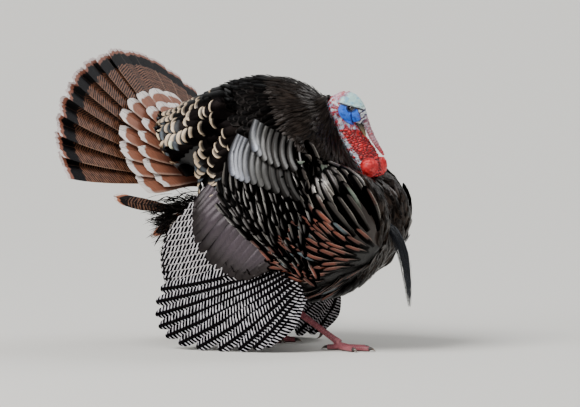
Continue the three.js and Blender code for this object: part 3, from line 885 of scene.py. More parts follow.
@dataclass(frozen=True)
class Horn:
    """Bill, claw and spur horn: layered keratin, dark at the root and streaked along its growth."""

    name: str
    dark: str
    pale: str
    roughness: float = 0.32

    def material(self) -> Material:
        """Horn, paler toward the end that "vane" marks.

        Returns:
            The material.
        """
        s = Shader(self.name)
        x, y, z = s.parts("vane")
        where = s.add(JOIN, s.add(TIMES, x, 1.6), s.add(TIMES, y, 0.08), z)
        streaks = s.add(NOISE, where, 1.0, 3.0)
        uneven = s.add(TIMES, s.add(LESS, streaks, 0.5), 0.9)
        share = s.add(RISE, s.add(PLUS, z, uneven), 0.2, 1.0)
        colour = s.add(MIX, share, rgba(self.dark), rgba(self.pale))
        return s.finish(Base_Color=colour, Roughness=self.roughness,
                        Normal=s.add(BUMP, 0.25, 0.0004, Height=streaks))


@dataclass(frozen=True)
class Bristle:
    """Beard bristles: stiff, waxy and nearly black, with a blue-grey sheen."""

    name: str = "beard bristles"

    def material(self) -> Material:
        """Dark bristle, each strand its own shade.

        Returns:
            The material.
        """
        s = Shader(self.name)
        shade, _, _ = s.parts("look")
        return s.finish(Base_Color=s.add(MIX, shade, rgba("#121216"), rgba("#3a3f49")),
                        Roughness=0.35, Metallic=0.1)


@dataclass(frozen=True)
class EyeFinish:
    """The eye: a dark brown iris about a black pupil under a wet clear cornea."""

    name: str = "wet eye"

    def material(self) -> Material:
        """Iris and pupil rings under a clear coat.

        Returns:
            The material.
        """
        s = Shader(self.name)
        ring, _, _ = s.parts("vane")
        iris = s.add(MIX, s.add(RISE, ring, 0.40, 0.46), rgba("#030202"), rgba("#22110a"))
        rim = s.add(MIX, s.add(RISE, ring, 0.74, 0.86), iris, rgba("#0b0706"))
        return s.finish(Base_Color=rim, Roughness=0.12, Coat_Weight=1.0, Coat_Roughness=0.02, Coat_IOR=1.38)


# ------------------------------------------------------------------ flesh
def welded(node: str) -> Cloth:
    """A solid's surface with its shared corners joined, in the bird's own frame.

    Args:
        node: The name of its solid.

    Returns:
        The surface, in triangles.
    """
    points, tris = numbers(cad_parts[node].data)
    keys, same = np.unique(np.round(points, 6), axis=0, return_inverse=True)
    return Cloth(keys / MM - SHIFT, NO_QUADS, same.ravel()[tris])


def voxelled(nodes: tuple, voxel: float, rounds: int, swell: float) -> Three:
    """Joins solids into one smooth surface.

    Args:
        nodes: Their names.
        voxel: Grid pitch, millimetres.
        rounds: Smoothing rounds.
        swell: How far the surfaces grow first, so that they meet.

    Returns:
        Points, triangles and point normals.
    """
    cloth = join_all([welded(n) for n in nodes])
    mesh = bpy.data.meshes.new("rough")
    mesh.from_pydata(cloth.points.tolist(), [], cloth.quads.tolist() + cloth.tris.tolist())
    rough = put("rough", mesh)
    grow = rough.modifiers.new("swell", "DISPLACE")
    grow.strength, grow.mid_level = swell, 0.0
    join = rough.modifiers.new("join", "REMESH")
    join.mode, join.voxel_size = "VOXEL", voxel
    soft = rough.modifiers.new("smooth", "SMOOTH")
    soft.factor, soft.iterations = 0.5, rounds
    result = bpy.data.meshes.new_from_object(rough.evaluated_get(bpy.context.evaluated_depsgraph_get()))
    points, tris = numbers(result)
    normals = np.zeros(points.size)
    result.vertices.foreach_get("normal", normals)
    bpy.data.objects.remove(rough)
    for spare in (mesh, result):
        bpy.data.meshes.remove(spare)
    return points, tris, normals.reshape(-1, 3)


class Surface:
    """A closed surface that feathers lie on."""

    def __init__(self, points: Array, tris: Array, normals: Array) -> None:
        """Keeps the surface and prepares the search for its nearest places."""
        self.points, self.tris, self.normals = points, tris, unit(normals)
        self.tree = BVHTree.FromPolygons(points.tolist(), tris.tolist())

    def near(self, places: Array) -> tuple[Array, Array]:
        """The nearest places on the surface and its outward directions there.

        Args:
            places: Places.

        Returns:
            The places and directions.
        """
        found, which = [], []
        for place in places.tolist():
            spot, _, index, _ = self.tree.find_nearest(place)
            found.append(spot)
            which.append(index)
        spots = np.array(found)
        corner = self.points[self.tris[which]]
        gap = np.linalg.norm(corner - spots[:, None], axis=-1) + 0.5
        weight = (1 / gap**2)[..., None]
        return spots, unit(np.sum(self.normals[self.tris[which]] * weight, axis=1))

    def scatter(self, count: int, rng: Random) -> tuple[Array, Array]:
        """Random places spread evenly over the surface, and the directions out of it there.

        Args:
            count: How many.
            rng: Random numbers.

        Returns:
            The places and directions.
        """
        a, b, c = (self.points[self.tris[:, k]] for k in range(3))
        area = np.linalg.norm(np.cross(b - a, c - a), axis=-1)
        pick = rng.choice(len(area), count, p=area / area.sum())
        u, v = rng.random((2, count, 1))
        flip = u + v > 1
        u, v = np.where(flip, 1 - u, u), np.where(flip, 1 - v, v)
        places = a[pick] + (b[pick] - a[pick]) * u + (c[pick] - a[pick]) * v
        return places, unit(self.normals[self.tris[pick]].mean(axis=1))

    def lie(self, roots: Array, ways: Array, lengths: Array, count: int, flow: "Coat") -> Three:
        """Middle lines that follow the surface from their roots.

        Args:
            roots: Places on the surface.
            ways: Unit directions to start in.
            lengths: Length of each feather.
            count: Places along each.
            flow: Gives the lie of the coat, which the lines bend into.

        Returns:
            Lines on the surface, across directions and outward directions.
        """
        place, out = self.near(roots)
        line, ups = [place], [out]
        way = ways
        step = (lengths / (count - 1))[:, None]
        for _ in range(count - 1):
            way = unit(way - out * np.sum(way * out, -1, keepdims=True))
            place, out = self.near(place + way * step)
            way = unit(way + 0.25 * flow.heading(place, out))
            line.append(place)
            ups.append(out)
        lines, up = np.stack(line, axis=1), np.stack(ups, axis=1)
        forward = unit(np.gradient(lines, axis=1))
        up = unit(up - forward * np.sum(up * forward, -1, keepdims=True))
        return lines, np.cross(forward, up), up


def spread(places: Array, spacing: float) -> list[int]:
    """Picks places that keep their distance from one another.

    Args:
        places: Places to pick from, the first ones first.
        spacing: The least distance.

    Returns:
        Row numbers of those picked.
    """
    cells = np.floor(places / spacing).astype(int)
    taken: dict = {}
    kept = []
    around = [(i, j, k) for i in (-1, 0, 1) for j in (-1, 0, 1) for k in (-1, 0, 1)]
    for index, (cell, place) in enumerate(zip(cells.tolist(), places.tolist())):
        rivals = (taken.get((cell[0] + i, cell[1] + j, cell[2] + k)) for i, j, k in around)
        if all(rival is None or math.dist(rival, place) > spacing for rival in rivals):
            taken[tuple(cell)] = place
            kept.append(index)
    return kept


@dataclass(frozen=True)
class Tract:
    """One stretch of the coat: how large its feathers are, how they stand and how they look."""

    name: str
    spacing: float
    length: float
    width: float
    root: float
    lift: float
    base: str
    glint: str
    glints: float
    band: str
    band_width: float
    edge: str
    edge_width: float
    vane: Vane = Vane()


BODY_VANE = Vane(rows=6, columns=4)
LONG_VANE = Vane(rows=10, columns=8, notch=0.11, roundness=2.8, root_width=0.5, widest=0.5, camber=0.12)
RUFF = Tract("ruff", 6.6, 38, 6.6, -5, 1, "#191310", "#2c221b", 0.5, "#0d0a09", 4, "#3a2f28", 1.2,
             Vane(rows=5, columns=2, notch=0.3))
CHEST = Tract("chest", 10.5, 44, 17, -6, 0.4, "#1b1512", "#3a2b21", 0.45, "#0d0a09", 4, "#43352b", 1.2,
              BODY_VANE)
# On the flank, lower flank and arm the edge colour is a painted highlight line, and the flank's and arm's
# glint is a painted highlight streak.
FLANK = Tract("flank", 16.5, 112, 25, -7, 9, "#3b322d", "#8c9a8a", 0.3, "#020202", 4, "#ded6c9", 2.2,
              LONG_VANE)
LOWER = Tract("lower flank", 14, 78, 17.5, -7, 6, "#0d0b0a", "#7c3720", 0.5, "#020202", 4, "#c39b8b", 1.6,
              LONG_VANE)
BELLY = Tract("belly", 13, 52, 22, -6, 2, "#0b0908", "#171210", 0.5, "#060505", 4, "#191513", 2, BODY_VANE)
MANTLE = Tract("mantle", 12, 46, 25, -6, 7, "#070606", "#0e0b0a", 0.4, "#030303", 4, "#1b1715", 1.4,
               BODY_VANE)
RUMP = Tract("rump", 19, 72, 44, -6, 6, "#080606", "#100c0b", 0.4, "#060505", 6, "#e9cfae", 4.5,
             Vane(rows=9, columns=8, notch=0.12, roundness=3.0, crowd=1.8))
ARM = Tract("arm", 15, 84, 16, -4, 9, "#1f1a18", "#4f4a43", 0.35, "#020202", 4, "#d8d4cc", 1.6,
            Vane(rows=8, columns=8, notch=0.14, roundness=2.6, root_width=0.5))
TRACTS = (RUFF, CHEST, FLANK, LOWER, BELLY, MANTLE, RUMP, ARM)


def arm_edges(x: Array) -> tuple[Array, Array]:
    """Heights of the wing arm's upper and lower edges at places along it."""
    top, low = (np.array(sorted((p[0], p[2]) for p in edge)) for edge in (ARM_TOP, ARM_EDGE))
    return np.interp(x, top[:, 0], top[:, 1]), np.interp(x, low[:, 0], low[:, 1])


class Coat:
    """The lie of the coat, the stretches it falls into and the small feathers that make it."""

    head_base = np.array([44.0, 0.0, 600.0])
    flank_focus = np.array([214.0, 62.0, 236.0])

    def heading(self, p: Array, n: Array) -> Array:
        """Which way feathers point at places on the body.

        Args:
            p: Places.
            n: Outward directions there.

        Returns:
            Unit directions along the surface.
        """
        way = unit(p - self.head_base) + np.array([-0.6, 0.0, 0.0])
        focus = self.flank_focus * np.stack([np.ones(len(p)), np.sign(p[:, 1]), np.ones(len(p))], -1)
        away = p - focus
        reach = np.linalg.norm(away, axis=-1, keepdims=True)
        away = unit(unit(away) + 1.2 * (reach / 218) ** 2 * np.array([0.0, 0.0, 1.0]))
        near_side = ramp(-40, 60, p[:, 0]) * ramp(450, 400, p[:, 2]) * ramp(25, 60, np.abs(p[:, 1]))
        way = blend(unit(way), away, near_side)
        ahead = (p - TAIL_ROOT) @ TAIL_FRONT
        radial = p - TAIL_ROOT - ahead[:, None] * TAIL_FRONT
        fanned = unit(radial) - TAIL_FRONT * 0.35
        way = blend(unit(way), unit(fanned), ramp(240, 90, ahead) * ramp(300, 360, p[:, 2]))
        hang = blend(np.array([0.76, 0.0, -0.65]), np.array([0.34, 0.0, -0.94]),
                     ramp(10, 110, self.above_patch(p)))
        way = blend(unit(way), hang, self.on_arm(p, n, 2.0).astype(float))
        way = way - n * np.sum(way * n, -1, keepdims=True)
        return unit(way)

    def on_arm(self, p: Array, n: Array, slack: float = 0.0) -> Array:
        """Whether places lie on a wing's arm.

        Args:
            p: Places.
            n: Outward directions there.
            slack: How far inside its edges they must be.

        Returns:
            True where they do.
        """
        x = np.where(p[:, 1] > 0, p[:, 0] - FAR_WING_SHIFT, p[:, 0])
        top, low = arm_edges(x)
        outer = np.abs(p[:, 1]) > 108
        inside = (x > -212 + slack) & (x < 62 - slack) & (p[:, 2] < top - slack) & (p[:, 2] > low + slack)
        return outer & inside & (n[:, 1] * np.sign(p[:, 1]) > 0.0)

    def above_patch(self, p: Array) -> Array:
        """How far up and forward places lie from the top edge of the greater coverts."""
        x = np.where(p[:, 1] > 0, p[:, 0] - FAR_WING_SHIFT, p[:, 0])
        return (x + 204) * 0.625 + (p[:, 2] - 362) * 0.781

    def tract(self, p: Array, n: Array) -> Array:
        """The number of the tract each place belongs to, or -1 where other feathers grow.

        Args:
            p: Places.
            n: Outward directions there.

        Returns:
            A number for each place.
        """
        x, y, z = p.T
        ahead = (p - TAIL_ROOT) @ TAIL_FRONT
        facing, wide = n[:, 1] * np.sign(y), np.abs(y) > 34
        places = (
            (BELLY, np.ones(len(p), bool)),
            (CHEST, (z > 190) & (z < 460)),
            (FLANK, wide & (facing > 0.22) & (z > 165) & (z < 432) & (x < 232)),
            (LOWER, wide & (facing > -0.15) & (z > 112) & (z < 256 + 0.14 * (214 - x)) & (x < 214)),
            (MANTLE, z > 436),
            (RUFF, (z > 425) & (0.82 * (x - 16) + 0.57 * (z - 500) > 0)),
            (RUMP, (ahead < 235) & (z > 318)),
            (BELLY, (x < -150) & (z <= 318)),
        )
        chosen = np.zeros(len(p), int)
        for tract, here in places:
            chosen[here] = TRACTS.index(tract)
        arm = self.on_arm(p, n, 4.0)
        chosen[arm] = np.where(self.above_patch(p[arm]) > 6, TRACTS.index(ARM), -1)
        return chosen

    def marks(self, tract: Tract, cloth: Cloth, roots: Array, per: int, rng: Random) -> Array:
        """The colour of each point of a tract's feathers, with painted shade and painted highlights on the
        flank, lower flank and arm.

        Args:
            tract: The tract.
            cloth: The feathers.
            roots: Their roots.
            per: Points in one feather.
            rng: Random numbers.

        Returns:
            A colour for each point.
        """
        tip = cloth.vectors["vane"][:, 2]
        signed = -cloth.vectors["look"][:, 1] * np.repeat(np.sign(roots[:, 1]), per)
        across = np.abs(signed)
        chance = np.repeat(rng.random(len(roots)), per)
        lucky = (chance < tract.glints).astype(float)
        tone = np.repeat(rng.normal(1.0, 0.16, len(roots)), per)[:, None]
        band, edge = tract.band_width, tract.edge_width
        inner = ramp(band, band + 10, tip) * ramp(0.95, 0.5, across)
        colour = blend(linear(tract.base), linear(tract.glint), lucky * inner)
        dark = ramp(band + 3, band, tip)
        rim = np.maximum(ramp(edge + 1.5, edge, tip), 0.6 * ramp(0.82, 1.0, across)) * 0.9
        if tract is RUMP:
            ahead = (np.repeat(roots, per, axis=0) - TAIL_ROOT) @ TAIL_FRONT
            likely = chance < ramp(300, 150, ahead)
            wide = np.interp(ahead, [60, 150, 260], [8.5, 4.0, 1.8])
            rim = ramp(wide + 2, wide, tip) * ramp(0.98, 0.86, across) * likely
            grey = ramp(wide + 12, wide + 9, tip) * ramp(wide + 3, wide + 5, tip) * ramp(150, 90, ahead)
            colour = paint(colour, "#69727a", 0.8 * grey)
            dark = 0 * dark
        elif tract in (FLANK, ARM):
            place = np.repeat(roots, per, axis=0)
            # Painted shade: the side of each feather that lies under its neighbour goes black, a shadow gap
            # between feathers.
            dark = np.maximum(dark, ramp(0.6, 0.15, signed))
            # Painted highlight: a pale glint streak on some of the higher flank and arm feathers.
            streak = ramp(0.3, 0.5, signed) * ramp(14, 30, tip) * ramp(80, 56, tip) * lucky
            colour = blend(linear(tract.base), linear(tract.glint), streak * ramp(290, 340, place[:, 2]))
            # Painted highlight: a light line along the raised edge of each feather.
            line = ramp(0.72, 0.9, signed) * ramp(92, 50, tip) * ramp(2, 8, tip)
            rim = line * (0.2 + (0.55 if tract is FLANK else 0.4) * (chance > 0.5))
            if tract is FLANK:
                patch = ramp(308, 268, place[:, 2]) * (np.abs(chance - 0.55) < 0.22)
                patch = patch * ramp(8, 13, tip) * ramp(50, 38, tip)
                colour = paint(colour, "#7d3a25", patch)
                colour = paint(colour, "#120e0c", 0.85 * ramp(52, 92, tip))
            if tract is ARM:
                low = ramp(320, 260, place[:, 2]) * ramp(-150, -80, place[:, 0])
                often = chance < 0.4 + 0.4 * ramp(280, 240, place[:, 2])
                patch = low * often * ramp(5, 9, tip) * ramp(42, 32, tip)
                colour = paint(colour, "#8c4029", patch)
        elif tract is LOWER:
            inner = ramp(3, 6, tip) * ramp(42, 34, tip)
            colour = blend(linear(tract.base), linear(tract.glint),
                           inner * (chance < 0.74) * (0.5 + 0.8 * chance))
            colour = paint(colour, "#5c6d74", inner * (chance > 0.86))
            # Painted shade: the side of each feather that lies under its neighbour goes black.
            dark = ramp(0.35, 0.0, signed)
            # Painted highlight: a pinkish line along the raised edge of each feather.
            rim = ramp(0.7, 0.95, signed) * ramp(4, 8, tip) * ramp(60, 34, tip) * 0.7
            colour = paint(colour, "#0e0b0a", 0.85 * ramp(46, 70, tip))
        # The band colour paints the black band, and on the flank, lower flank and arm the painted shade as
        # well.
        colour = blend(colour, linear(tract.band), dark)
        # The edge colour paints a pale fringe on most tracts and a painted highlight line on the flank, lower
        # flank and arm.
        return np.clip(blend(colour, linear(tract.edge), rim) * np.clip(tone, 0.5, 1.6), 0, 1)

    def patches(self, roots: Array) -> Array:
        """Where on an unwrap of the body each root falls: round the trunk and along it.

        Args:
            roots: Their roots.

        Returns:
            Map places from 0 to 1.
        """
        round_trunk = np.arctan2(roots[:, 1], roots[:, 2] - 370) / (2 * math.pi) + 0.5
        along = (roots[:, 0] + 420) / 720
        return np.stack([0.01 + 0.98 * round_trunk, np.clip(along, 0.01, 0.99)], -1)

    def grow(self, hull: Surface, tract: Tract, roots: Array, rng: Random) -> Cloth:
        """Grows a tract's feathers from their roots on the hull.

        Args:
            hull: The body's outside.
            tract: The tract.
            roots: Their roots.
            rng: Random numbers.

        Returns:
            The feathers with their colours.
        """
        vane = tract.vane
        _, out = hull.near(roots)
        way = self.heading(roots, out)
        swing = np.cross(way, out) * rng.normal(0, 0.10, (len(roots), 1))
        lengths = tract.length * rng.normal(1.0, 0.07, len(roots))
        count = 6
        line, side, up = hull.lie(roots, unit(way + swing), lengths, count, self)
        t = np.linspace(0, 1, count)
        rise = tract.root + (tract.lift - tract.root) * t**0.8
        height = rise[None] + rng.normal(0, 0.6, (len(roots), 1)) * t[None]
        line = line + up * height[..., None]
        forward = unit(np.gradient(line, axis=1))
        side = np.cross(forward, up)
        lean = rng.normal(0, 0.08, len(roots))
        if tract in (FLANK, LOWER, ARM):
            lean = 0.5 * lean - 0.24 * np.sign(roots[:, 1])
        side, up = tilted(side, up, lean)
        cloth = vane.grow(line, side, up, tract.width * rng.normal(1.0, 0.06, len(roots)), rng)
        per = len(cloth.points) // len(roots)
        cloth.colours["colour"] = self.marks(tract, cloth, roots, per, rng)
        cloth.uv = vane.patches(self.patches(roots))
        return cloth


# ------------------------------------------------------------------ bare skin
@dataclass
class BareSkin:
    """Head, neck, legs and the flesh under the coat, as one skin."""

    coat_depth: float = 9.0
    head_voxel: float = 0.9
    leg_voxel: float = 1.0

    def head(self) -> Cloth:
        """The warty head and neck with the snood and the two big throat lumps.

        Returns:
            The head and neck, closed.
        """
        points, tris, normals = voxelled(HEAD_NODES, self.head_voxel, rounds=9, swell=0.25)
        depth, _ = self.head_relief(points)
        return Cloth(points + normals * depth[:, None], NO_QUADS, tris)

    def regions(self, p: Array) -> dict:
        """How strongly each part of the head and neck is present at places on it.

        Args:
            p: Places.

        Returns:
            A share for each place, by the part's name.
        """
        rel = p - HEAD_CENTRE
        along, out = rel @ BILL_AXIS, rel @ CROWN_AXIS
        y = np.abs(p[:, 1])
        level = out - 23.0 - 0.62 * along
        slant = (along - EYE_ALONG) * 0.85 + (out - EYE_OUT) * 0.53
        drop = (out - EYE_OUT) * 0.85 - (along - EYE_ALONG) * 0.53
        eye = np.sqrt((slant / 1.12) ** 2 + (drop / 0.92) ** 2)
        face = np.sqrt(((along - 18) / 30) ** 2 + ((out - 11) / 21) ** 2)
        line = NECK_LINE.at(np.linspace(0, 1, 60))
        nearest = np.argmin(np.linalg.norm(p[:, None] - line[None], axis=-1), axis=1)
        ahead = unit(np.gradient(line, axis=0))[nearest]
        off = p - line[nearest]
        front = np.cross(ahead, np.array([0.0, 1.0, 0.0]))
        fore = np.sum(off * front, -1)
        snood_line = SNOOD.at(np.linspace(0, 1, 50))
        snood = np.min(np.linalg.norm(p[:, None] - snood_line[None], axis=-1), axis=1)
        near = np.linalg.norm((p - np.array([161, -17, 434.5])) / np.array([18, 17, 19]), axis=-1)
        away = np.linalg.norm((p - np.array([181, 12, 438])) / np.array([14, 12.5, 23]), axis=-1)
        balls, gap = np.minimum(near, away), np.abs(near - away)
        return {
            "along": along, "out": out, "y": y, "eye": eye, "fore": fore, "level": level,
            "snood": ramp(9.5, 7.0, snood) * ramp(24, 40, along),
            "ball": ramp(1.3, 1.2, balls), "between": gap,
            "face": ramp(1.04, 0.9, face) * ramp(9, 14, y) * ramp(2.0, -1.0, level),
            "crown": ramp(-1.0, 2.0, level) * ramp(-27, -18, along + 3 * np.sin(out / 3)),
            "throat": ramp(48, 68, along - 0.9 * out + 20 * (cloud(p, 8, 9) - 0.5)),
        }

    def head_relief(self, p: Array) -> tuple[Array, dict]:
        """Height of warts, folds, lids and grooves over the smooth head.

        Args:
            p: Places on the smooth head.

        Returns:
            Heights in millimetres and the masks used for colour.
        """
        r = self.regions(p)
        ball, face, snood = r["ball"], r["face"], r["snood"]
        bare = (1 - ball) * (1 - snood)
        turn = np.arctan2(r["out"] - 10, r["along"] - 10)
        radius = np.hypot(r["out"] - 10, r["along"] - 10)
        rows = np.stack([radius * 0.55, turn * 26, p[:, 1]], -1)
        f1, f2, owner = pebbles(rows + 1.5 * (cloud(p, 6, 4)[:, None] - 0.5), 5.0, 3)
        grain = np.clip(f2 - f1, 0, 0.6) / 0.6
        nape = bare * (1 - face) * (1 - r["throat"]) * (1 - r["crown"])
        b1, b2, red = pebbles((p + 4.0 * (cloud(p, 8, 5)[:, None] - 0.5)) * [0.78, 0.78, 1.25], 7.2, 11)
        lump = np.sqrt(ramp(0.0, 0.62, b2 - b1))
        throat = bare * (1 - face) * r["throat"]
        height = 1.9 * nape * grain * (0.25 + owner) * ramp(14, 40, radius)
        height += 3.4 * throat * lump * (0.7 + 0.4 * red) - 1.2 * throat
        crease = np.abs((r["along"] - 18) * 0.62 + (r["out"] - 17) * 0.78 + 1.2 * np.sin(r["along"] / 4.0))
        lobe = np.maximum(ramp(0.0, 3.2, crease), ramp(20, 15, r["along"]))
        beside = ramp(10, 15, r["y"])
        lid = np.exp(-((r["eye"] - 7.9) / 1.35) ** 2) * beside
        lid2 = np.exp(-((r["eye"] - 11.6) / 1.2) ** 2) * beside
        brow = np.exp(-((r["level"] - 3.0) / 3.0) ** 2) * ramp(-20, -10, r["along"])
        brow = brow * ramp(36, 26, r["along"]) * ramp(8, 14, r["y"])
        rim = np.exp(-((r["face"] - 0.35) / 0.25) ** 2)
        swell = ramp(11, 16, r["eye"]) * ramp(0.0, 0.8, r["face"])
        height += r["face"] * (2.6 * lobe * swell + 0.3 * cloud(p, 3, 21)) - 0.9 * rim * beside
        height += 2.9 * lid + 0.5 * lid2 + 2.0 * brow * (1 - ball)
        folds = np.sin(r["along"] / 1.55 + 5 * cloud(p, 7, 31)) * 0.45
        forehead = bare * ramp(8, 16, r["out"]) * ramp(14, 28, r["along"]) * (1 - face)
        height += forehead * folds * 2.0 + r["crown"] * (0.5 * grain * 0.7 - 0.2)
        along_snood = p @ unit([0.35, 0.1, -0.93])
        wrinkles = 0.5 * np.sin(along_snood / 1.1 + 4 * cloud(p, 5, 41))
        height += snood * (wrinkles + 1.6 * ramp(470, 510, p[:, 2]))
        height += ball * (0.12 * cloud(p, 2.2, 51) + 0.5 * cloud(p, 12, 52) - 0.3)
        height -= 1.2 * ball * ramp(0.22, 0.0, r["between"])
        ear = np.sqrt((r["along"] - 4) ** 2 + (r["out"] + 12) ** 2)
        height -= 2.6 * np.exp(-((ear / 3.2) ** 2)) * ramp(12, 18, r["y"])
        height *= 1 - ramp(6.6, 5.8, r["eye"]) * beside
        masks = {**r, "grain": grain, "lump": lump, "owner": owner, "red": red, "lobe": lobe,
                 "brow": brow, "forehead": forehead, "folds": folds, "ear": ear, "throat_on": throat}
        return height, masks

    def head_colour(self, p: Array) -> Array:
        """The colour of the head and neck: blue face, pale crown, warty nape and red throat.

        Args:
            p: Places.

        Returns:
            A colour for each place.
        """
        _, m = self.head_relief(p)
        blotch = cloud(p, 6, 61)
        pale = mix("#e6e4ea", "#a9c3e6", ramp(0.35, 0.75, blotch))
        spotted = (m["owner"] > 0.36).astype(float) * ramp(0.05, 0.25, m["grain"])
        colour = paint(pale, "#b5111d", spotted * 0.96)
        colour = paint(colour, "#4a4c66", ramp(0.2, 0.0, m["grain"]) * 0.7)
        top = ramp(-20, -32, m["along"]) * ramp(-2, 14, m["out"])
        colour = paint(colour, "#e08a98", top * 0.6 * (1 - 0.5 * spotted))
        crown = mix("#c3eeea", "#7fbfdc", ramp(0.35, 0.85, cloud(p, 8, 62)))
        colour = blend(colour, crown, m["crown"])
        ridge = mix("#e3eef2", "#1c3560", ramp(0.12, -0.25, m["folds"]))
        colour = blend(colour, ridge, m["forehead"] * 0.9 * (1 - 0.55 * m["crown"]))
        # Painted light and shade over the face's own blue mottling: brighter on the swollen lobes, darker in
        # the crease between them.
        lit = m["lobe"] * (0.1 + 1.4 * cloud(p, 4.5, 63)) * ramp(0.1, 0.8, m["face"])
        deep = mix("#0a2290", "#2377fb", ramp(0.05, 0.85, lit))
        colour = blend(colour, deep, ramp(0.1, 0.6, m["face"]))
        beside = ramp(10, 15, m["y"])
        colour = paint(colour, "#0b1024", ramp(10.4, 8.6, m["eye"]) * beside * 0.9)
        colour = paint(colour, "#cdf0ee", m["brow"] * 0.8)
        # Painted shadow: a blue-black line under the brow.
        under = np.exp(-(((m["level"] + 1.8) / 2.3) ** 2)) * ramp(-20, -12, m["along"])
        under = under * ramp(38, 30, m["along"])
        colour = paint(colour, "#070a1e", np.clip(1.5 * under, 0, 1) * ramp(6, 11, m["y"]))
        hem = np.exp(-((m["face"] - 0.3) / 0.25) ** 2) * beside * ramp(2, -4, m["level"] + 6)
        colour = paint(colour, "#111a4a", hem * 0.8)
        red = mix("#740a12", "#dd2228", ramp(0.3, 0.8, m["lump"]))
        back = ramp(-5, -10, m["fore"] + 5 * (cloud(p, 7, 66) - 0.5))
        pale_back = mix("#dfe8f4", "#c02028", (m["red"] > 0.42) * ramp(0.3, 0.6, m["lump"]))
        colour = blend(colour, blend(red, pale_back, back),
                       ramp(0.15, 0.6, m["throat_on"] + 0.5 * (m["red"] - 0.5)))
        ball = mix("#c91720", "#ee3d3f", ramp(0.25, 0.8, cloud(p, 5, 64)))
        # Painted shade where the two throat lumps meet.
        ball = paint(ball, "#6d0a12", 0.8 * ramp(0.16, 0.02, m["between"]))
        colour = blend(colour, ball, m["ball"])
        snood = mix("#8a6473", "#cf9aa2", cloud(p, 4, 65))
        snood = paint(snood, "#b33b44", ramp(505, 470, p[:, 2]))
        colour = blend(colour, snood, m["snood"] * (1 - m["ball"]))
        return paint(colour, "#3a2430", np.exp(-((m["ear"] / 2.6) ** 2)) * ramp(12, 18, m["y"]))

    def leg(self, leg: Leg) -> Cloth:
        """One scaly shank and foot.

        Args:
            leg: The leg.

        Returns:
            The leg, closed.
        """
        nodes = (f"shank_{leg.name}", f"foot_{leg.name}")
        points, tris, normals = voxelled(nodes, self.leg_voxel, rounds=6, swell=0.25)
        height = self.scutes(points, leg)
        floor = ramp(0.6, 3.0, points[:, 2])
        points = points + normals * (height * floor)[:, None]
        return Cloth(np.maximum(points, [-1e6, -1e6, 0.0]), NO_QUADS, tris)

    def scutes(self, p: Array, leg: Leg) -> Array:
        """Height of the scales: two rows of plates down the shank, cross bands on the toes.

        Args:
            p: Places.
            leg: The leg.

        Returns:
            A height for each place.
        """
        hock = np.array(leg.hock) * [1, leg.side, 1]
        ankle = np.array(leg.ankle) * [1, leg.side, 1]
        down = unit(ankle - hock)
        along = (p - hock) @ down
        front = unit(np.cross(np.array([0.0, 1.0, 0.0]), down))
        front = front if front[0] > 0 else -front
        angle = np.arctan2((p - hock)[:, 1], (p - hock - along[:, None] * down) @ front)
        plate = along / 7.5 + 0.5 * (np.floor(angle / (math.pi / 2.2)) % 2)
        groove = np.abs((plate % 1) - 0.5) * 2
        side = np.abs(((angle / (math.pi / 2.2)) % 1) - 0.5) * 2
        shank = -0.7 * np.maximum(ramp(0.72, 1.0, groove), ramp(0.86, 1.0, side))
        start = ankle * [1, 1, 0] + [0, 0, TOE_HEIGHT]
        rel = p - start
        radius = np.linalg.norm(rel[:, :2], axis=-1)
        toe = -0.6 * ramp(0.7, 1.0, np.abs(((radius / 5.2) % 1) - 0.5) * 2) * ramp(4.0, 8.0, p[:, 2])
        f1, f2, _ = pebbles(p, 2.6, 71)
        pads = 0.45 * np.clip(f2 - f1, 0, 0.5) * ramp(7.0, 3.0, p[:, 2])
        on_shank = ramp(20, 30, p[:, 2])
        return shank * on_shank + (toe + pads) * (1 - on_shank)

    def leg_colour(self, p: Array) -> Array:
        """Pink-red plates with darker grooves and greyer pads.

        Args:
            p: Places.

        Returns:
            A colour for each place.
        """
        nearer = p[:, 1] < 0
        depth = np.where(nearer, self.scutes(p, LEGS[0]), self.scutes(p, LEGS[1]))
        tone = mix("#8e4450", "#b56a70", cloud(p, 7, 72))
        tone = paint(tone, "#5c2b36", ramp(-0.1, -0.6, depth))
        return paint(tone, "#6f5552", ramp(4.0, 1.0, p[:, 2]))

    def flesh(self, hull: Surface) -> Cloth:
        """The body's own surface, below the hull by the depth of the coat.

        Args:
            hull: The body's outside.

        Returns:
            The body, closed.
        """
        inward = hull.points - hull.normals * 0.6
        room = []
        for place, way in zip(inward.tolist(), (-hull.normals).tolist()):
            spot, _, _, distance = hull.tree.ray_cast(place, way)
            room.append(80.0 if spot is None else distance)
        depth = np.minimum(self.coat_depth, 0.3 * np.array(room))
        return Cloth(hull.points - hull.normals * depth[:, None], NO_QUADS, hull.tris)

    def belongs(self, p: Array, part: Cloth) -> Array:
        """Which places lie on a part's surface."""
        tree = BVHTree.FromPolygons(part.points.tolist(), part.tris.tolist())
        return np.array([tree.find_nearest(q, 0.2)[0] is not None for q in p.tolist()])

    def colour(self, p: Array, bare: Cloth, legs: Cloth, coat: Coat) -> Array:
        """Every part's colour; under the coat the skin carries the coat's own markings.

        Args:
            p: Places.
            bare: The bare head.
            legs: Both legs.
            coat: The feather coat.

        Returns:
            A colour for each place.
        """
        on_head, on_leg = (self.belongs(p, part) for part in (bare, legs))
        on_leg &= ~on_head
        colour = np.tile(linear("#15110f"), (len(p), 1))
        body = ~(on_head | on_leg)
        which = coat.tract(p[body], unit(p[body] - np.array([0, 0, 370.0])))
        bases = np.array([linear(t.base) for t in TRACTS] + [linear("#1d1a19")])
        colour[body] = bases[which]
        colour[on_head] = self.head_colour(p[on_head])
        colour[on_leg] = self.leg_colour(p[on_leg])
        return colour

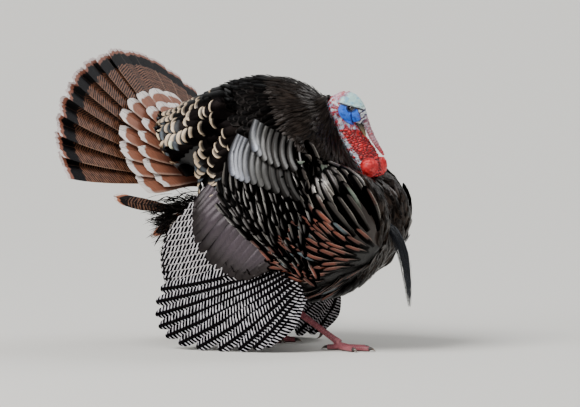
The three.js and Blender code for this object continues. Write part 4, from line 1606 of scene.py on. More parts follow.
    def unite(self, cloths: list[Cloth]) -> tuple[Array, Array]:
        """Joins closed surfaces into one with no seam between them.

        Args:
            cloths: The surfaces.

        Returns:
            Points and triangles of the one surface.
        """
        objects = []
        for cloth in cloths:
            mesh = bpy.data.meshes.new("part")
            mesh.from_pydata(cloth.points.tolist(), [], cloth.tris.tolist())
            objects.append(put("part", mesh))
        for part in objects[1:]:
            step = objects[0].modifiers.new("unite", "BOOLEAN")
            step.operation, step.solver, step.object = "UNION", "MANIFOLD", part
        graph = bpy.context.evaluated_depsgraph_get()
        result = bpy.data.meshes.new_from_object(objects[0].evaluated_get(graph))
        for part in objects:
            bpy.data.objects.remove(part)
        return numbers(result)

    def build(self, hull: Surface, coat: Coat) -> Cloth:
        """Makes the one skin and hands back the bare head.

        Args:
            hull: The body's outside.
            coat: The feather coat.

        Returns:
            The bare head and neck.
        """
        head = self.head()
        legs = [self.leg(leg) for leg in LEGS]
        flesh = self.flesh(hull)
        parts = [flesh, head, *legs]
        points, tris = self.unite(parts)
        LOG.info("skin: %d points from parts of %s", len(points), [len(c.points) for c in parts])
        if len(points) < len(head.points):
            whole = join_all(parts)
            points, tris = whole.points, whole.tris
        cloth = Cloth(points, NO_QUADS, tris)
        cloth.colours["colour"] = self.colour(points, head, join_all(legs), coat)
        cloth.vectors["place"] = points
        nodes = [*BODY_NODES, *HEAD_NODES]
        for name in ("right", "left"):
            nodes += [f"thigh_{name}", f"shank_{name}", f"foot_{name}", f"wing_{name}_arm"]
        make_piece("skin", cloth, Skin().material(), nodes)
        return head


# ------------------------------------------------------------------ coat pieces
@dataclass
class BodyCoat:
    """The small feathers of neck, breast, back, flanks and rump."""

    seed: int = 7
    tries: int = 90000
    outside: float = 420.0
    ring_pitch: float = 14.0
    line_pitch: tuple = (40.0, 11.5)
    flank_pitch: tuple = (40.0, 16.5)
    lower_pitch: tuple = (25.0, 11.5)

    def build(self, hull: Surface, coat: Coat, head: Cloth, plain: Material,
              glossy: Material) -> None:
        """Grows every tract, one piece each.

        Args:
            hull: The body's outside.
            coat: The feather coat.
            head: The bare head.
            plain: Material of most tracts.
            glossy: Material of glinting tracts.
        """
        rng = np.random.default_rng(self.seed)
        places, out = hull.scatter(self.tries, rng)
        clear = self.clear(places, head)
        places, out = places[clear], out[clear]
        which = coat.tract(places, out)
        for number, tract in enumerate(TRACTS):
            if tract in (FLANK, LOWER, RUMP, ARM):
                rows = self.rings(hull) if tract is RUMP else self.arcs(hull, tract, coat)
                rows = self.lines(hull) if tract is ARM else rows
                spots, ways = hull.near(rows)
                roots = rows[coat.tract(spots, ways) == number]
            else:
                own = places[which == number]
                roots = own[spread(own, tract.spacing)]
            cloth = coat.grow(hull, tract, roots, rng)
            dress = glossy if tract in (FLANK, LOWER, ARM) else plain
            make_piece(f"coat_{tract.name.replace(' ', '_')}", cloth, dress, [])

    def met(self, hull: Surface, starts: Array, ways: Array) -> Array:
        """Where rays from outside meet the hull."""
        found = [hull.tree.ray_cast(a, b)[0] for a, b in zip(starts.tolist(), unit(ways).tolist())]
        return np.array([list(f) for f in found if f is not None])

    def rings(self, hull: Surface) -> Array:
        """Roots in rings round the rump, each ring staggered against the last.

        Args:
            hull: The body's outside.

        Returns:
            The roots.
        """
        starts, ways = [], []
        for k, ahead in enumerate(np.arange(48.0, 250.0, self.ring_pitch)):
            angle = np.radians(np.arange(-118, 119, 1900 / (70 + 0.36 * ahead)))
            angle = angle + (k % 2) * 0.5 * (angle[1] - angle[0])
            radial = np.cos(angle)[:, None] * TAIL_UP + np.sin(angle)[:, None] * TAIL_SIDE
            starts.append(TAIL_ROOT + TAIL_FRONT * ahead + radial * self.outside)
            ways.append(-radial)
        return self.met(hull, np.vstack(starts), np.vstack(ways))

    def lines(self, hull: Surface) -> Array:
        """Roots on both arms in lines that run beside the greater coverts.

        Args:
            hull: The body's outside.

        Returns:
            The roots.
        """
        roots = []
        for side in (RIGHT, LEFT):
            for k, up in enumerate(np.arange(-30.0, 260.0, self.line_pitch[1])):
                along = np.arange(-130.0, 300.0, self.line_pitch[0])
                along = along + 13.0 * (k % 3) + 3.0 * math.sin(k * 2.3)
                x = -204 + 0.781 * along + 0.625 * up + (FAR_WING_SHIFT if side == LEFT else 0.0)
                z = 362 - 0.625 * along + 0.781 * up
                start = np.stack([x, 0 * x + side * self.outside, z], -1)
                roots.append(self.met(hull, start, np.tile([0.0, -side, 0.0], (len(x), 1))))
        return np.vstack([r for r in roots if len(r)])

    def arcs(self, hull: Surface, tract: Tract, coat: Coat) -> Array:
        """Roots in rows round the hollow under each breast lobe.

        Args:
            hull: The body's outside.
            tract: The tract.
            coat: The feather coat.

        Returns:
            The roots.
        """
        roots = []
        along, across = self.flank_pitch if tract is FLANK else self.lower_pitch
        for side in (RIGHT, LEFT):
            for k, reach in enumerate(np.arange(14.0, 400.0, along)):
                angle = np.arange(0, 2 * math.pi, across / reach) + (k % 2) * 0.5 * across / reach
                x = coat.flank_focus[0] + reach * np.cos(angle)
                z = coat.flank_focus[2] + reach * np.sin(angle)
                start = np.stack([x, 0 * x + side * self.outside, z], -1)
                roots.append(self.met(hull, start, np.tile([0.0, -side, 0.0], (len(x), 1))))
        return np.vstack([r for r in roots if len(r)])

    def clear(self, places: Array, head: Cloth) -> Array:
        """Which places are outside the bare head and neck.

        Args:
            places: Places.
            head: The bare head.

        Returns:
            True for those outside.
        """
        tree = BVHTree.FromPolygons(head.points.tolist(), head.tris.tolist())
        keep = []
        for place in places.tolist():
            spot, normal, _, distance = tree.find_nearest(place)
            keep.append(distance > 2.0 and (Vector(place) - spot).dot(normal) > 0)
        return np.array(keep)


@dataclass
class TailFan:
    """The opened fan: broad tail feathers that spring from one root and overlap from the middle out."""

    count: int = 18
    length: float = 418.0
    shortening: float = 12.0
    width: float = 98.0
    layer: float = 1.0
    vane: Vane = Vane(rows=34, columns=14, notch=0.03, roundness=3.2, root_width=0.25, widest=0.9,
                      tip_width=0.97, camber=0.02, thickness=0.8, ridge=0.8, ragged=2.2, crowd=1.0)

    def direction(self, share: Array, spread_angle: float) -> Array:
        """The way feathers point, from the left edge of the fan to its right.

        Args:
            share: Shares from the left edge to the right.
            spread_angle: Spread each way from the middle.

        Returns:
            A unit direction for each.
        """
        angle = np.radians((2 * share - 1) * spread_angle)
        sweep = TAIL_DISH * np.sin(angle) ** 2
        flat = np.cos(angle)[:, None] * TAIL_UP + np.sin(angle)[:, None] * TAIL_SIDE
        return flat * np.cos(sweep)[:, None] - TAIL_FRONT * np.sin(sweep)[:, None]

    def lay(self, share: Array, spread_angle: float, radii: tuple, offset: Array, bow: Array,
            rng: Random) -> Three:
        """Middle lines of a row of feathers in the fan.

        Args:
            share: Each feather's place from the left edge to the right.
            spread_angle: Spread each way from the middle.
            radii: Root and tip radius of each.
            offset: How far each lies in front of the fan.
            bow: How far each bows to the front.
            rng: The source of chance.

        Returns:
            Lines, across directions and outward directions.
        """
        way = self.direction(share, spread_angle)
        base = TAIL_ROOT + TAIL_FRONT * offset[:, None]
        root, tip = (base + way * np.reshape(r, (-1, 1)) for r in radii)
        out = np.tile(TAIL_FRONT, (len(share), 1))
        line, side, up = straight(root, tip, out, 12, bow, rng.normal(0, 1.2, len(share)))
        lean = np.sign(share - 0.5) * 0.035 + rng.normal(0, 0.008, len(share))
        side, up = tilted(side, up, -lean)
        return line, side, up

    def build(self, material: Material) -> None:
        """Makes the fan.

        Args:
            material: Material of the feathers.
        """
        rng = np.random.default_rng(18)
        share = 0.5 + (np.arange(self.count) + 0.5 - self.count / 2) / (self.count + 0.6)
        far = np.abs(2 * share - 1)
        tip = self.length - self.shortening * far**2 + rng.normal(0, 2.2, self.count)
        offset = -self.layer * far * self.count / 2
        order = np.argsort(-far)
        share, tip, offset = share[order], tip[order], offset[order]
        line, side, up = self.lay(share, TAIL_SPREAD, (np.full(self.count, 24.0), tip), offset,
                                  np.zeros(self.count), rng)
        cloth = self.vane.grow(line, side, up, np.full(self.count, self.width), rng)
        cloth.uv = self.vane.strips(self.count)
        make_piece("tail_feathers", cloth, material, ["tail_fan"])


@dataclass
class TailCoverts:
    """Rows of upper tail coverts over the foot of the fan, chestnut with white tips."""

    vane: Vane = Vane(rows=16, columns=10, notch=0.1, roundness=3.0, root_width=0.5, widest=0.8,
                      tip_width=0.95, camber=0.06, thickness=0.8, ridge=0.5, ragged=2.0, crowd=1.2)
    # count, tip radius, how much shorter at the sides, offset in front, length, width
    rows: tuple = ((15, 286, 74, 13, 170, 74), (14, 234, 62, 24, 150, 68))

    def build(self, fan: TailFan, material: Material) -> None:
        """Makes the rows, the longest first.

        Args:
            fan: The tail fan.
            material: Material of the feathers.
        """
        rng = np.random.default_rng(19)
        cloths = []
        for count, tip, shorter, offset, length, width in self.rows:
            share = (np.arange(count) + 0.5 + rng.normal(0, 0.06, count)) / count
            far = np.abs(2 * share - 1)
            reach = tip - shorter * far**2 + rng.normal(0, 3.0, count)
            front = offset - 0.7 * far * count / 2 + rng.normal(0, 0.3, count)
            order = np.argsort(-far)
            share, reach, front = share[order], reach[order], front[order]
            line, side, up = fan.lay(share, TAIL_SPREAD + 8, (reach - length, reach), front,
                                     np.full(count, 6.0), rng)
            cloths.append(self.vane.grow(line, side, up, np.full(count, float(width)), rng))
        whole = join_all(cloths)
        whole.uv = self.vane.strips(sum(r[0] for r in self.rows), tall=2)
        make_piece("tail_covert_feathers", whole, material, ["tail_coverts"])


@dataclass
class Wing:
    """One drooped wing: primaries that brush the floor, secondaries over them and coverts on the arm."""

    side: float
    primary_vane: Vane = Vane(rows=26, columns=10, notch=0.07, roundness=2.2, root_width=0.45, widest=0.5,
                              tip_width=0.62, camber=0.07, thickness=0.8, ridge=0.9, ragged=0.8, crowd=1.0)
    secondary_vane: Vane = Vane(rows=22, columns=10, notch=0.08, roundness=2.4, root_width=0.5, widest=0.6,
                                tip_width=0.9, camber=0.06, thickness=0.8, ridge=0.7, ragged=1.2, crowd=1.0)

    def place(self, points: Array) -> Array:
        """Moves places of the right wing to this one.

        Args:
            points: Places on the right wing.

        Returns:
            The same places on this wing.
        """
        if self.side == LEFT:
            return points * [1, -1, 1] + [FAR_WING_SHIFT, 0, 0]
        return points

    def flight(self, roots: Path, tips: Path, count: int, width: float, vane: Vane, layer: tuple, ends: tuple,
               rng: Random) -> Cloth:
        """A fan of flight feathers between two curves.

        Args:
            roots: Curve of the roots.
            tips: Curve of the tips.
            count: Feathers.
            width: Width of each.
            vane: Their outline.
            layer: How far out the first and the last lie.
            ends: Share of the curves where the first and the last stand.
            rng: The source of chance.

        Returns:
            The feathers.
        """
        s = np.linspace(*ends, count)
        out = np.tile([0.0, -1.0, 0.0], (count, 1))
        lift = np.linspace(*layer, count)[:, None] * out
        root, tip = roots.at(s) + lift * 0.6, tips.at(s) + lift
        line, side, up = straight(root, tip, out, 12, np.full(count, 8.0), np.full(count, -9.0))
        side, up = tilted(side, up, np.full(count, 0.05))
        line[..., 2] = np.maximum(line[..., 2], 3.0)
        cloth = vane.grow(line, side, up, np.full(count, width), rng)
        cloth.points[:, 2] = np.maximum(cloth.points[:, 2], 0.0)
        if self.side == LEFT:
            cloth.points = self.place(cloth.points)
            cloth.quads = cloth.quads[:, ::-1]
        cloth.uv = vane.strips(count)
        return cloth

    def build(self, primary: Material, secondary: Material) -> None:
        """Makes the flight feathers.

        Args:
            primary: Material of the primaries.
            secondary: Material of the secondaries.
        """
        name = "right" if self.side == RIGHT else "left"
        rng = np.random.default_rng(31 + int(self.side))
        cloth = self.flight(PRIMARY_ROOTS, PRIMARY_TIPS, 11, 50, self.primary_vane, (3, -8), (0.0, 1.0), rng)
        make_piece(f"wing_{name}_primary_feathers", cloth, primary,
                   [f"wing_{name}_primaries"])
        cloth = self.flight(SECONDARY_ROOTS, SECONDARY_TIPS, 15, 40, self.secondary_vane, (10, 3),
                            (0.0, 1.0), rng)
        make_piece(f"wing_{name}_secondary_feathers", cloth, secondary,
                   [f"wing_{name}_secondaries"])


@dataclass(frozen=True)
class Row:
    """A row of coverts on the arm: root and tip curves in side view, and how they look."""

    name: str
    count: int
    roots: tuple
    tips: tuple
    width: float
    root: float
    lift: float
    base: str
    shade: str
    edge: str
    edge_width: float
    bow: float = 0.0


ARM_ROWS = (
    Row("greater coverts", 16,
        ((-186, 392), (-160, 372), (-130, 346), (-92, 318), (-58, 290), (-20, 262), (6, 246)),
        ((-222, 338), (-226, 300), (-216, 254), (-178, 211), (-140, 188), (-99, 172), (-45, 196)), 34, -1, 7,
        "#4d4149", "#251c1d", "#0c0909", 1.4, -3.0),
    # The scapulars' silver base is partly their colour and partly a painted sheen.
    Row("long scapulars", 10, ((-120, 512), (-100, 504), (-62, 490), (-26, 478), (14, 462)),
        ((-116, 416), (-90, 404), (-52, 396), (-6, 380), (52, 362)), 30, 6, 13,
        "#666870", "#2f2e2a", "#050404", 2.4, 12.0),
    Row("short scapulars", 7, ((-76, 548), (-50, 534), (-20, 520), (16, 502)),
        ((-64, 474), (-38, 452), (-4, 438), (40, 430)), 28, 9, 16,
        "#6b6d72", "#2c2b27", "#050404", 2.2, 10.0),
)


@dataclass
class ArmCoat:
    """Coverts and scapulars laid over each wing's arm in ordered rows."""

    vane: Vane = Vane(rows=10, columns=6, notch=0.16, roundness=2.6, root_width=0.6, widest=0.5,
                      tip_width=0.92, camber=0.16, thickness=0.8, ridge=0.5, crowd=1.4)

    def lay(self, row: Row, wing: Wing, hull: Surface, rng: Random) -> Cloth:
        """One row of one wing.

        Args:
            row: The row.
            wing: The wing.
            hull: The body's outside.
            rng: Random numbers.

        Returns:
            The feathers.
        """
        s = np.linspace(0, 1, row.count) + rng.normal(0, 0.006, row.count)
        roots, tips = (Path(tuple((x, -190.0, z) for x, z in edge)).at(s) for edge in (row.roots, row.tips))
        t = np.linspace(0, 1, 9)[None, :, None]
        flat = roots[:, None] * (1 - t) + tips[:, None] * t
        ahead = unit(tips - roots)
        flat = flat + (4 * t * (1 - t)) * row.bow * np.cross(ahead, [0.0, -1.0, 0.0])[:, None]
        flat = wing.place(flat)
        spots, up = hull.near(flat.reshape(-1, 3))
        spots[:, [0, 2]] = flat.reshape(-1, 3)[:, [0, 2]]
        up = unit(up * [0.4, 1.0, 0.4] + [0.0, wing.side * 0.6, 0.0])
        lines, up = spots.reshape(row.count, 9, 3), up.reshape(row.count, 9, 3)
        outer = np.maximum.accumulate(np.abs(lines[..., 1]), axis=1)
        lines[..., 1] = np.sign(lines[..., 1]) * np.maximum(np.abs(lines[..., 1]), outer - 9 * t[..., 0])
        layer = np.linspace(2.0, -2.0, row.count)[:, None, None]
        height = row.root + (row.lift - row.root) * t + layer
        lines = lines + up * height
        forward = unit(np.gradient(lines, axis=1))
        up = unit(up - forward * np.sum(up * forward, -1, keepdims=True))
        side = np.cross(forward, up)
        side, up = tilted(side, up, np.full(row.count, 0.08 * -wing.side) + rng.normal(0, 0.03, row.count))
        cloth = self.vane.grow(lines, side, up, row.width * rng.normal(1.0, 0.04, row.count), rng)
        cloth.colours["colour"] = self.marks(row, cloth, int(wing.side), rng)
        return cloth

    def marks(self, row: Row, cloth: Cloth, wing_side: int, rng: Random) -> Array:
        """The colours of a row: a base graded to a darker colour, with a painted sheen and a painted
        highlight band on the scapulars, and a dark or pale edge.

        Args:
            row: The row.
            cloth: The feathers.
            wing_side: The side of the wing.
            rng: Random numbers.

        Returns:
            A colour for each point.
        """
        tip, signed = cloth.vectors["vane"][:, 2], cloth.vectors["look"][:, 1]
        per = len(cloth.points) // row.count
        tone = np.repeat(rng.normal(1.0, 0.07, row.count), per)[:, None]
        if row is ARM_ROWS[0]:
            colour = blend(linear(row.base), linear(row.shade), ramp(70, 12, tip))
            rim = np.maximum(0.3 * ramp(row.edge_width + 1, row.edge_width, tip),
                             ramp(0.9, 0.97, np.abs(signed)))
        else:
            forward = np.repeat(np.linspace(0, 1, row.count), per) + 0.22 * (row is ARM_ROWS[2])
            # The scapulars' silver-grey at the rear is their colour with a painted sheen on it, and it
            # darkens toward the front.
            colour = blend(linear(row.base), linear(row.shade), ramp(0.1, 0.55, forward))
            colour = paint(colour, "#110e0d", ramp(0.4, 0.85, forward) * 0.9)
            # Painted sheen: pale blue-grey toward the tips of the rear scapulars.
            colour = paint(colour, "#9aa0b0", ramp(26, 8, tip) * ramp(0.45, 0.15, forward) * 0.5)
            # Painted highlight: a lit band along one side of the front scapulars.
            lit = ramp(0.2, 0.35, signed * wing_side) * ramp(0.65, 0.5, signed * wing_side)
            colour = paint(colour, "#6f6c68", lit * ramp(0.4, 0.6, forward) * 0.3)
            rim = np.maximum(ramp(0.45, 0.8, np.abs(signed)),
                             0.6 * ramp(row.edge_width + 1, row.edge_width, tip))
        return np.clip(blend(colour, linear(row.edge), rim) * tone, 0, 1)

    def build(self, hull: Surface, material: Material) -> None:
        """Makes both arms' coats.

        Args:
            hull: The body's outside.
            material: Material of the feathers.
        """
        for side, name in ((RIGHT, "right"), (LEFT, "left")):
            rng = np.random.default_rng(41 + int(side))
            wing = Wing(side)
            whole = join_all([self.lay(row, wing, hull, rng) for row in ARM_ROWS])
            whole.uv = self.vane.strips(sum(row.count for row in ARM_ROWS), tall=2)
            make_piece(f"wing_{name}_coverts", whole, material, [])


@dataclass
class Undertail:
    """Loose coverts and fluffy down below the root of the tail."""

    vane: Vane = Vane(rows=16, columns=8, notch=0.14, root_width=0.35, widest=0.6, tip_width=0.9,
                      camber=0.1, thickness=0.7, ridge=0.4, ragged=1.6, crowd=1.0)
    long_ones: int = 22
    wisps: int = 2200

    def loose(self, material: Material) -> None:
        """The long barred coverts, two of them out of place.

        Args:
            material: Material of the feathers.
        """
        rng = np.random.default_rng(51)
        n = self.long_ones
        s = np.linspace(-1, 1, n)
        root = np.stack([-230 + 0 * s, 46 * s, 300 - 30 * np.abs(s)], -1)
        tip = np.stack([-352 + 26 * s**2, -10 + 84 * s, 318 - 60 * np.abs(s) + rng.normal(0, 6, n)], -1)
        root = np.vstack([root, [[-340, -18, 326], [-300, -16, 306]]])
        tip = np.vstack([tip, [[-508, -33, 349], [-412, -23, 251]]])
        out = np.tile([0.1, -0.5, -0.8], (n, 1))
        out = np.vstack([out, [[0.0, -1.0, 0.1], [-0.2, -1.0, 0.0]]])
        bow = np.concatenate([np.full(n, 4.0), [6.0, 4.0]])
        line, side, up = straight(root, tip, out, 10, bow, np.concatenate([np.zeros(n), [-8.0, 6.0]]))
        width = np.concatenate([np.full(n, 34.0), [30.0, 23.0]])
        cloth = self.vane.grow(line, side, up, width, rng)
        cloth.uv = self.vane.strips(n + 2)
        make_piece("undertail_feathers", cloth, material, ["undertail"])

    def down(self, material: Material) -> None:
        """Wisps of black down behind the vent.

        Args:
            material: Material of the feathers.
        """
        rng = np.random.default_rng(52)
        n = self.wisps
        far = rng.random(n) ** 1.3
        start = np.stack([-200 - 150 * far, rng.normal(-8, 30, n) * (1 - 0.4 * far),
                          285 + 24 * far + rng.normal(0, 34, n) * (1 - 0.5 * far)], -1)
        way = unit(np.stack([rng.normal(-1.0, 0.25, n), rng.normal(0, 0.35, n) + 0.01 * start[:, 1],
                             rng.normal(-0.35, 0.4, n)], -1))
        length = rng.uniform(40, 95, n)
        tip = start + way * length[:, None]
        line, side, up = straight(start, tip, unit(rng.normal(0, 1, (n, 3))), 6, rng.normal(6, 4, n),
                                  rng.normal(0, 7, n))
        vane = Vane(rows=6, columns=2, notch=0.5, root_width=0.6, widest=0.3, tip_width=0.25, camber=0.1,
                    thickness=0.3, ridge=0.0, crowd=1.0)
        cloth = vane.grow(line, side, up, rng.uniform(1.6, 4.2, n), rng)
        tone = np.repeat(rng.uniform(0.5, 1.7, n), len(cloth.points) // n)[:, None]
        cloth.colours["colour"] = np.clip(np.tile(linear("#1a1413"), (len(cloth.points), 1)) * tone, 0, 1)
        place = np.stack([(start[:, 1] + 130) / 260, (start[:, 2] - 150) / 220], -1)
        cloth.uv = vane.patches(np.clip(place, 0.01, 0.99))
        make_piece("undertail_down", cloth, material, [])

    def build(self, barred: Material, plain: Material) -> None:
        """Makes the loose coverts and the down."""
        self.loose(barred)
        self.down(plain)


@dataclass
class Beard:
    """A hanging tuft of stiff bristles from the middle of the breast."""

    count: int = 300
    path: Path = Path(((192, 0, 306), (216, 0, 286), (236, 0, 250), (248, 0, 206), (255, 0, 156),
                       (258, 0, 102)))

    def build(self) -> None:
        """Makes the tuft."""
        rng = np.random.default_rng(61)
        t = np.linspace(0, 1, 12)
        cloths = []
        for _ in range(self.count):
            spot = rng.normal(0, 0.5, 2).clip(-1.3, 1.3)
            reach = rng.uniform(0.45, 1.0) ** 0.6
            line = self.path.at(t * reach)
            open_out = np.interp(t * reach, [0, 0.15, 0.45, 0.8, 1], [8, 12, 14, 9, 3])
            line[:, 1] += spot[0] * open_out
            line[:, 0] += spot[1] * open_out * 0.8
            line[:, 0] += np.sin(t * rng.uniform(3, 7) + rng.uniform(0, 6)) * t * 2.2
            line[:, 1] += np.sin(t * rng.uniform(3, 7) + rng.uniform(0, 6)) * t * 2.2
            radii = 0.42 * (1 - t**3) + 0.1
            cloth = tube(line, radii, 4)
            cloth.vectors["look"] = np.tile([rng.random(), 0, 0], (len(cloth.points), 1))
            cloths.append(cloth)
        make_piece("beard_bristles", join_all(cloths), Bristle().material(), ["beard"])


@dataclass
class Bill:
    """The horn bill: a hooked upper half over a shorter lower half."""

    upper: tuple = ((30, 6, 9.5, 9), (42, 6, 8.6, 8.4), (54, 5.4, 7.2, 7.2), (66, 3.6, 5.4, 5.6),
                    (75, 0.2, 3.6, 3.8), (80, -3.6, 1.8, 2.0), (82, -6.4, 0.5, 0.6))
    lower: tuple = ((30, -9, 5.6, 8), (44, -8, 5.0, 7.2), (56, -6.6, 3.8, 5.8), (66, -5.6, 2.6, 3.8),
                    (72, -5.4, 1.0, 1.8))

    def half(self, sections: tuple, name: str, node: str) -> None:
        """One half of the bill, lofted through oval sections.

        Args:
            sections: Along, out, half depth and half width of each.
            name: Name of the piece.
            node: Name of the solid that it replaces.
        """
        keys = np.array(sections, float)
        t = np.linspace(0, 1, 40)
        at = np.linspace(0, 1, len(keys))
        along, out, deep, wide = (np.interp(t, at, k) for k in keys.T)
        soft = np.ones(5) / 5
        out, deep, wide = (np.convolve(np.pad(v, 2, "edge"), soft, "valid") for v in (out, deep, wide))
        angle = np.linspace(0, 2 * math.pi, 28, endpoint=False)
        middle = HEAD_CENTRE + along[:, None] * BILL_AXIS + out[:, None] * CROWN_AXIS
        ring = (np.cos(angle)[None, :, None] * wide[:, None, None] * np.array([0.0, 1.0, 0.0])
                + np.sin(angle)[None, :, None] * deep[:, None, None] * CROWN_AXIS)
        base = tube(middle, np.ones(40), 28)
        points = np.vstack([(middle[:, None] + ring).reshape(-1, 3), middle[:1], middle[-1:]])
        share = np.concatenate([np.repeat(t, 28), [0.0, 1.0]])
        turn = np.concatenate([np.tile(angle * 6, 40), [0.0, 0.0]])
        carried = {"vane": np.stack([turn, share * 60, share], -1)}
        cloth = Cloth(points, base.quads, base.tris, carried)
        make_piece(name, cloth, Horn(f"{name} horn", "#25242a", "#a08a5c").material(), [node])

    def build(self) -> None:
        """Makes both halves."""
        self.half(self.upper, "upper_bill", "bill_upper")
        self.half(self.lower, "lower_bill", "bill_lower")


@dataclass
class Eyes:
    """Round wet eyes seated in their lids."""

    radius: float = 8.0
    deeper: float = 1.2

    def build(self) -> None:
        """Makes both eyes."""
        material = EyeFinish().material()
        for side, name in ((RIGHT, "right"), (LEFT, "left")):
            centre = head_point(EYE_ALONG, EYE_OUT, side * (EYE_SIDE - self.deeper))
            around = np.linspace(0, 2 * math.pi, 36, endpoint=False)
            lat, lon = np.meshgrid(np.linspace(0.02, math.pi - 0.02, 24), around, indexing="ij")
            out = np.array([0.0, side, 0.0])
            ring = np.sin(lat).ravel()
            ball = (np.cos(lat).ravel()[:, None] * out * EYE_FLATNESS
                    + (np.sin(lat) * np.cos(lon)).ravel()[:, None] * BILL_AXIS
                    + (np.sin(lat) * np.sin(lon)).ravel()[:, None] * CROWN_AXIS)
            points = np.vstack([centre + ball * self.radius, centre + out * self.radius * EYE_FLATNESS,
                                centre - out * self.radius * EYE_FLATNESS])
            base = tube(np.linspace([0, 0, 0], [1, 0, 0], 24), np.ones(24), 36)
            quads, tris = (base.quads[:, ::-1], base.tris[:, ::-1]) if side < 0 else (base.quads, base.tris)
            share = np.where(np.cos(lat).ravel() > 0, ring, 1.0)
            rings = np.concatenate([share, [0.0, 1.0]])
            cloth = Cloth(points, quads, tris, {"vane": np.stack([rings, 0 * rings, 0 * rings], -1)})
            make_piece(f"{name}_eye", cloth, material, [f"eye_{name}"])


@dataclass
class Claws:
    """Curved claws on every toe and a spur on each shank."""

    length: float = 18.0

    def build(self) -> None:
        """Makes the claws and spurs of both legs."""
        material = Horn("claw horn", "#2c2726", "#7d6e62").material()
        for leg in LEGS:
            t = np.linspace(0, 1, 14)
            cloths = []
            for angle, reach in TOES:
                turn = math.radians(leg.turn + leg.side * angle)
                way = np.array([math.cos(turn), math.sin(turn), 0.0])
                start = np.array([leg.ankle[0], leg.side * leg.ankle[1], 0.0]) + way * (reach - 2)
                line = start + way * (t * self.length)[:, None]
                line[:, 2] = TOE_HEIGHT + 1.6 * np.sin(t * 2.4) - 6.4 * t**2.2
                radii = 4.2 * (1 - t**1.6) + 0.35
                claw = tube(line, radii, 14, 1.1)
                claw.points[:, 2] = np.maximum(claw.points[:, 2], 0.0)
                self.measure(claw, (0, 1), t)
                cloths.append(claw)
            nodes = [f"claw_{leg.name}_{k + 1}" for k in range(4)]
            make_piece(f"claws_{leg.name}", join_all(cloths), material, nodes)
            self.spur(leg, material)

    def measure(self, horn: Cloth, axes: tuple, t: Array) -> None:
        """Carries places on the horn.

        Args:
            horn: The tube, with its two end points last.
            axes: The two directions to carry.
            t: Shares of the length, one a ring.
        """
        run = np.append(np.repeat(t, (len(horn.points) - 2) // len(t)), [0, 1])
        horn.vectors["vane"] = np.stack([*(horn.points[:, k] for k in axes), run], -1)

    def spur(self, leg: Leg, material: Material) -> None:
        """One spur, curving back and up from the shank.

        Args:
            leg: The leg.
            material: Material of the horn.
        """
        hock, ankle = (np.array(v) * [1, leg.side, 1] for v in (leg.hock, leg.ankle))
        down = unit(ankle - hock)
        back = np.array([down[2], 0.0, -down[0]]) * (1.0 if down[2] < 0 else -1.0)
        base = hock + (ankle - hock) * 0.66
        inward = np.array([0.0, -leg.side, 0.0])
        knots = np.array([(2, 0, 1), (11, 1, 4), (20, 0, 6), (27, -4, 7)])
        t = np.linspace(0, 1, 14)
        line = Path(tuple(base + back * a + down * b + inward * c for a, b, c in knots)).at(t)
        spur = tube(line, 5.0 * (1 - t**1.3) + 0.35, 16)
        self.measure(spur, (0, 2), t)
        make_piece(f"leg_spur_{leg.name}", spur, material, [f"spur_{leg.name}"])


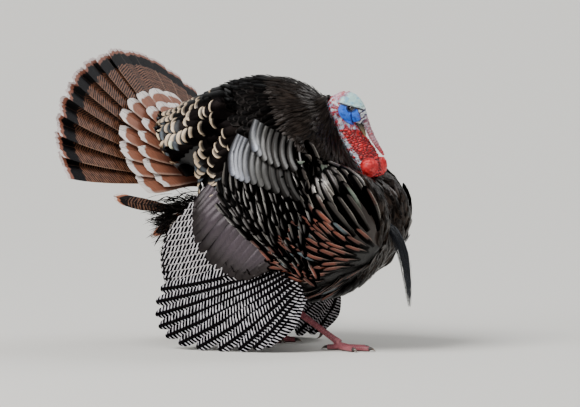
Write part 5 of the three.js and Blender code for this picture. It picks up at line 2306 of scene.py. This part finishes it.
# ------------------------------------------------------------------ studio
@dataclass
class Studio:
    """Pale floor, soft lights and the camera."""

    azimuth: float = 24.0
    elevation: float = 4.0
    distance: float = 12.0
    wide: float = 1.392
    aim: tuple = (-53.6, 2.3, 341.2)

    def floor(self) -> None:
        """A plain pale floor."""
        mesh = bpy.data.meshes.new("floor")
        half = 80.0
        mesh.from_pydata([(-half, -half, 0), (half, -half, 0), (half, half, 0), (-half, half, 0)], [],
                         [(0, 1, 2, 3)])
        floor = put("floor", mesh)
        s = Shader("pale floor")
        mesh.materials.append(s.finish(Base_Color=rgba("#dedcd6"), Roughness=0.9))

    def light(self, name: str, place: tuple, size: float, power: float, colour: tuple) -> None:
        """A soft square light that looks at the bird.

        Args:
            name: Its name.
            place: Where it hangs, in metres.
            size: Its width, in metres.
            power: Its strength.
            colour: Its colour.
        """
        data = bpy.data.lights.new(name, "AREA")
        data.size, data.energy, data.color = size, power, colour
        lamp = put(name, data)
        lamp.location = place
        lamp.rotation_euler = (Vector((0.1, 0, 0.35)) - Vector(place)).to_track_quat("-Z", "Y").to_euler()

    def sun(self, name: str, toward: tuple, power: float, width: float) -> None:
        """A broad, even light from one side of the sky.

        Args:
            name: Its name.
            toward: The way to it.
            power: Its strength.
            width: How wide it looks, in degrees.
        """
        data = bpy.data.lights.new(name, "SUN")
        data.energy, data.angle = power, math.radians(width)
        lamp = put(name, data)
        lamp.rotation_euler = (-Vector(toward)).to_track_quat("-Z", "Y").to_euler()

    def build(self) -> None:
        """Makes the floor, lights, sky and camera."""
        self.floor()
        self.sun("main light", (-0.55, -0.75, 1.25), 3.1, 30.0)
        self.sun("light from behind", (0.5, 0.9, 0.9), 1.1, 30.0)
        self.light("sheen", (-1.6, -2.6, 1.9), 1.4, 40.0, (1.0, 0.98, 0.95))
        world = bpy.data.worlds.new("studio air")
        bpy.context.scene.world = world
        world.use_nodes = True
        air = world.node_tree.nodes["Background"]
        air.inputs[0].default_value, air.inputs[1].default_value = (0.95, 0.96, 0.97, 1.0), 0.45
        a, e = math.radians(self.azimuth), math.radians(self.elevation)
        back = Vector((math.sin(a) * math.cos(e), -math.cos(a) * math.cos(e), math.sin(e)))
        data = bpy.data.cameras.new("camera")
        data.sensor_width = 36.0
        data.lens = 36.0 * self.distance / self.wide
        data.clip_end = 60.0
        camera = put("camera", data)
        camera.location = Vector((np.array(self.aim) + SHIFT) * MM) + back * self.distance
        camera.rotation_euler = (-back).to_track_quat("-Z", "Y").to_euler()
        bpy.context.scene.camera = camera


def main() -> None:
    """Builds the whole bird, then the studio round it."""
    logging.basicConfig(level=logging.INFO, format="%(name)s %(message)s")
    limbs = ("thigh_right", "thigh_left", "wing_right_arm", "wing_left_arm")
    hull = Surface(*voxelled(BODY_NODES + limbs, HULL_VOXEL, rounds=8, swell=0.5))
    LOG.info("hull: %d points", len(hull.points))
    coat = Coat()
    plumage = Plumage()
    plain = plumage.body()
    glossy = Plumage("glossy feather vanes", 0.3, 0.3, specular=0.6).body()
    head = BareSkin().build(hull, coat)
    BodyCoat().build(hull, coat, head, plain, glossy)
    fan = TailFan()
    fan.build(plumage.patterned(Feather.TAIL))
    TailCoverts().build(fan, plumage.patterned(Feather.COVERT))
    primary, secondary = plumage.patterned(Feather.PRIMARY), plumage.patterned(Feather.SECONDARY)
    for side in (RIGHT, LEFT):
        Wing(side).build(primary, secondary)
    ArmCoat().build(hull, glossy)
    Undertail().build(plumage.patterned(Feather.LOOSE), plain)
    Beard().build()
    Bill().build()
    Eyes().build()
    Claws().build()
    Studio().build()


if __name__ == "__main__":
    main()
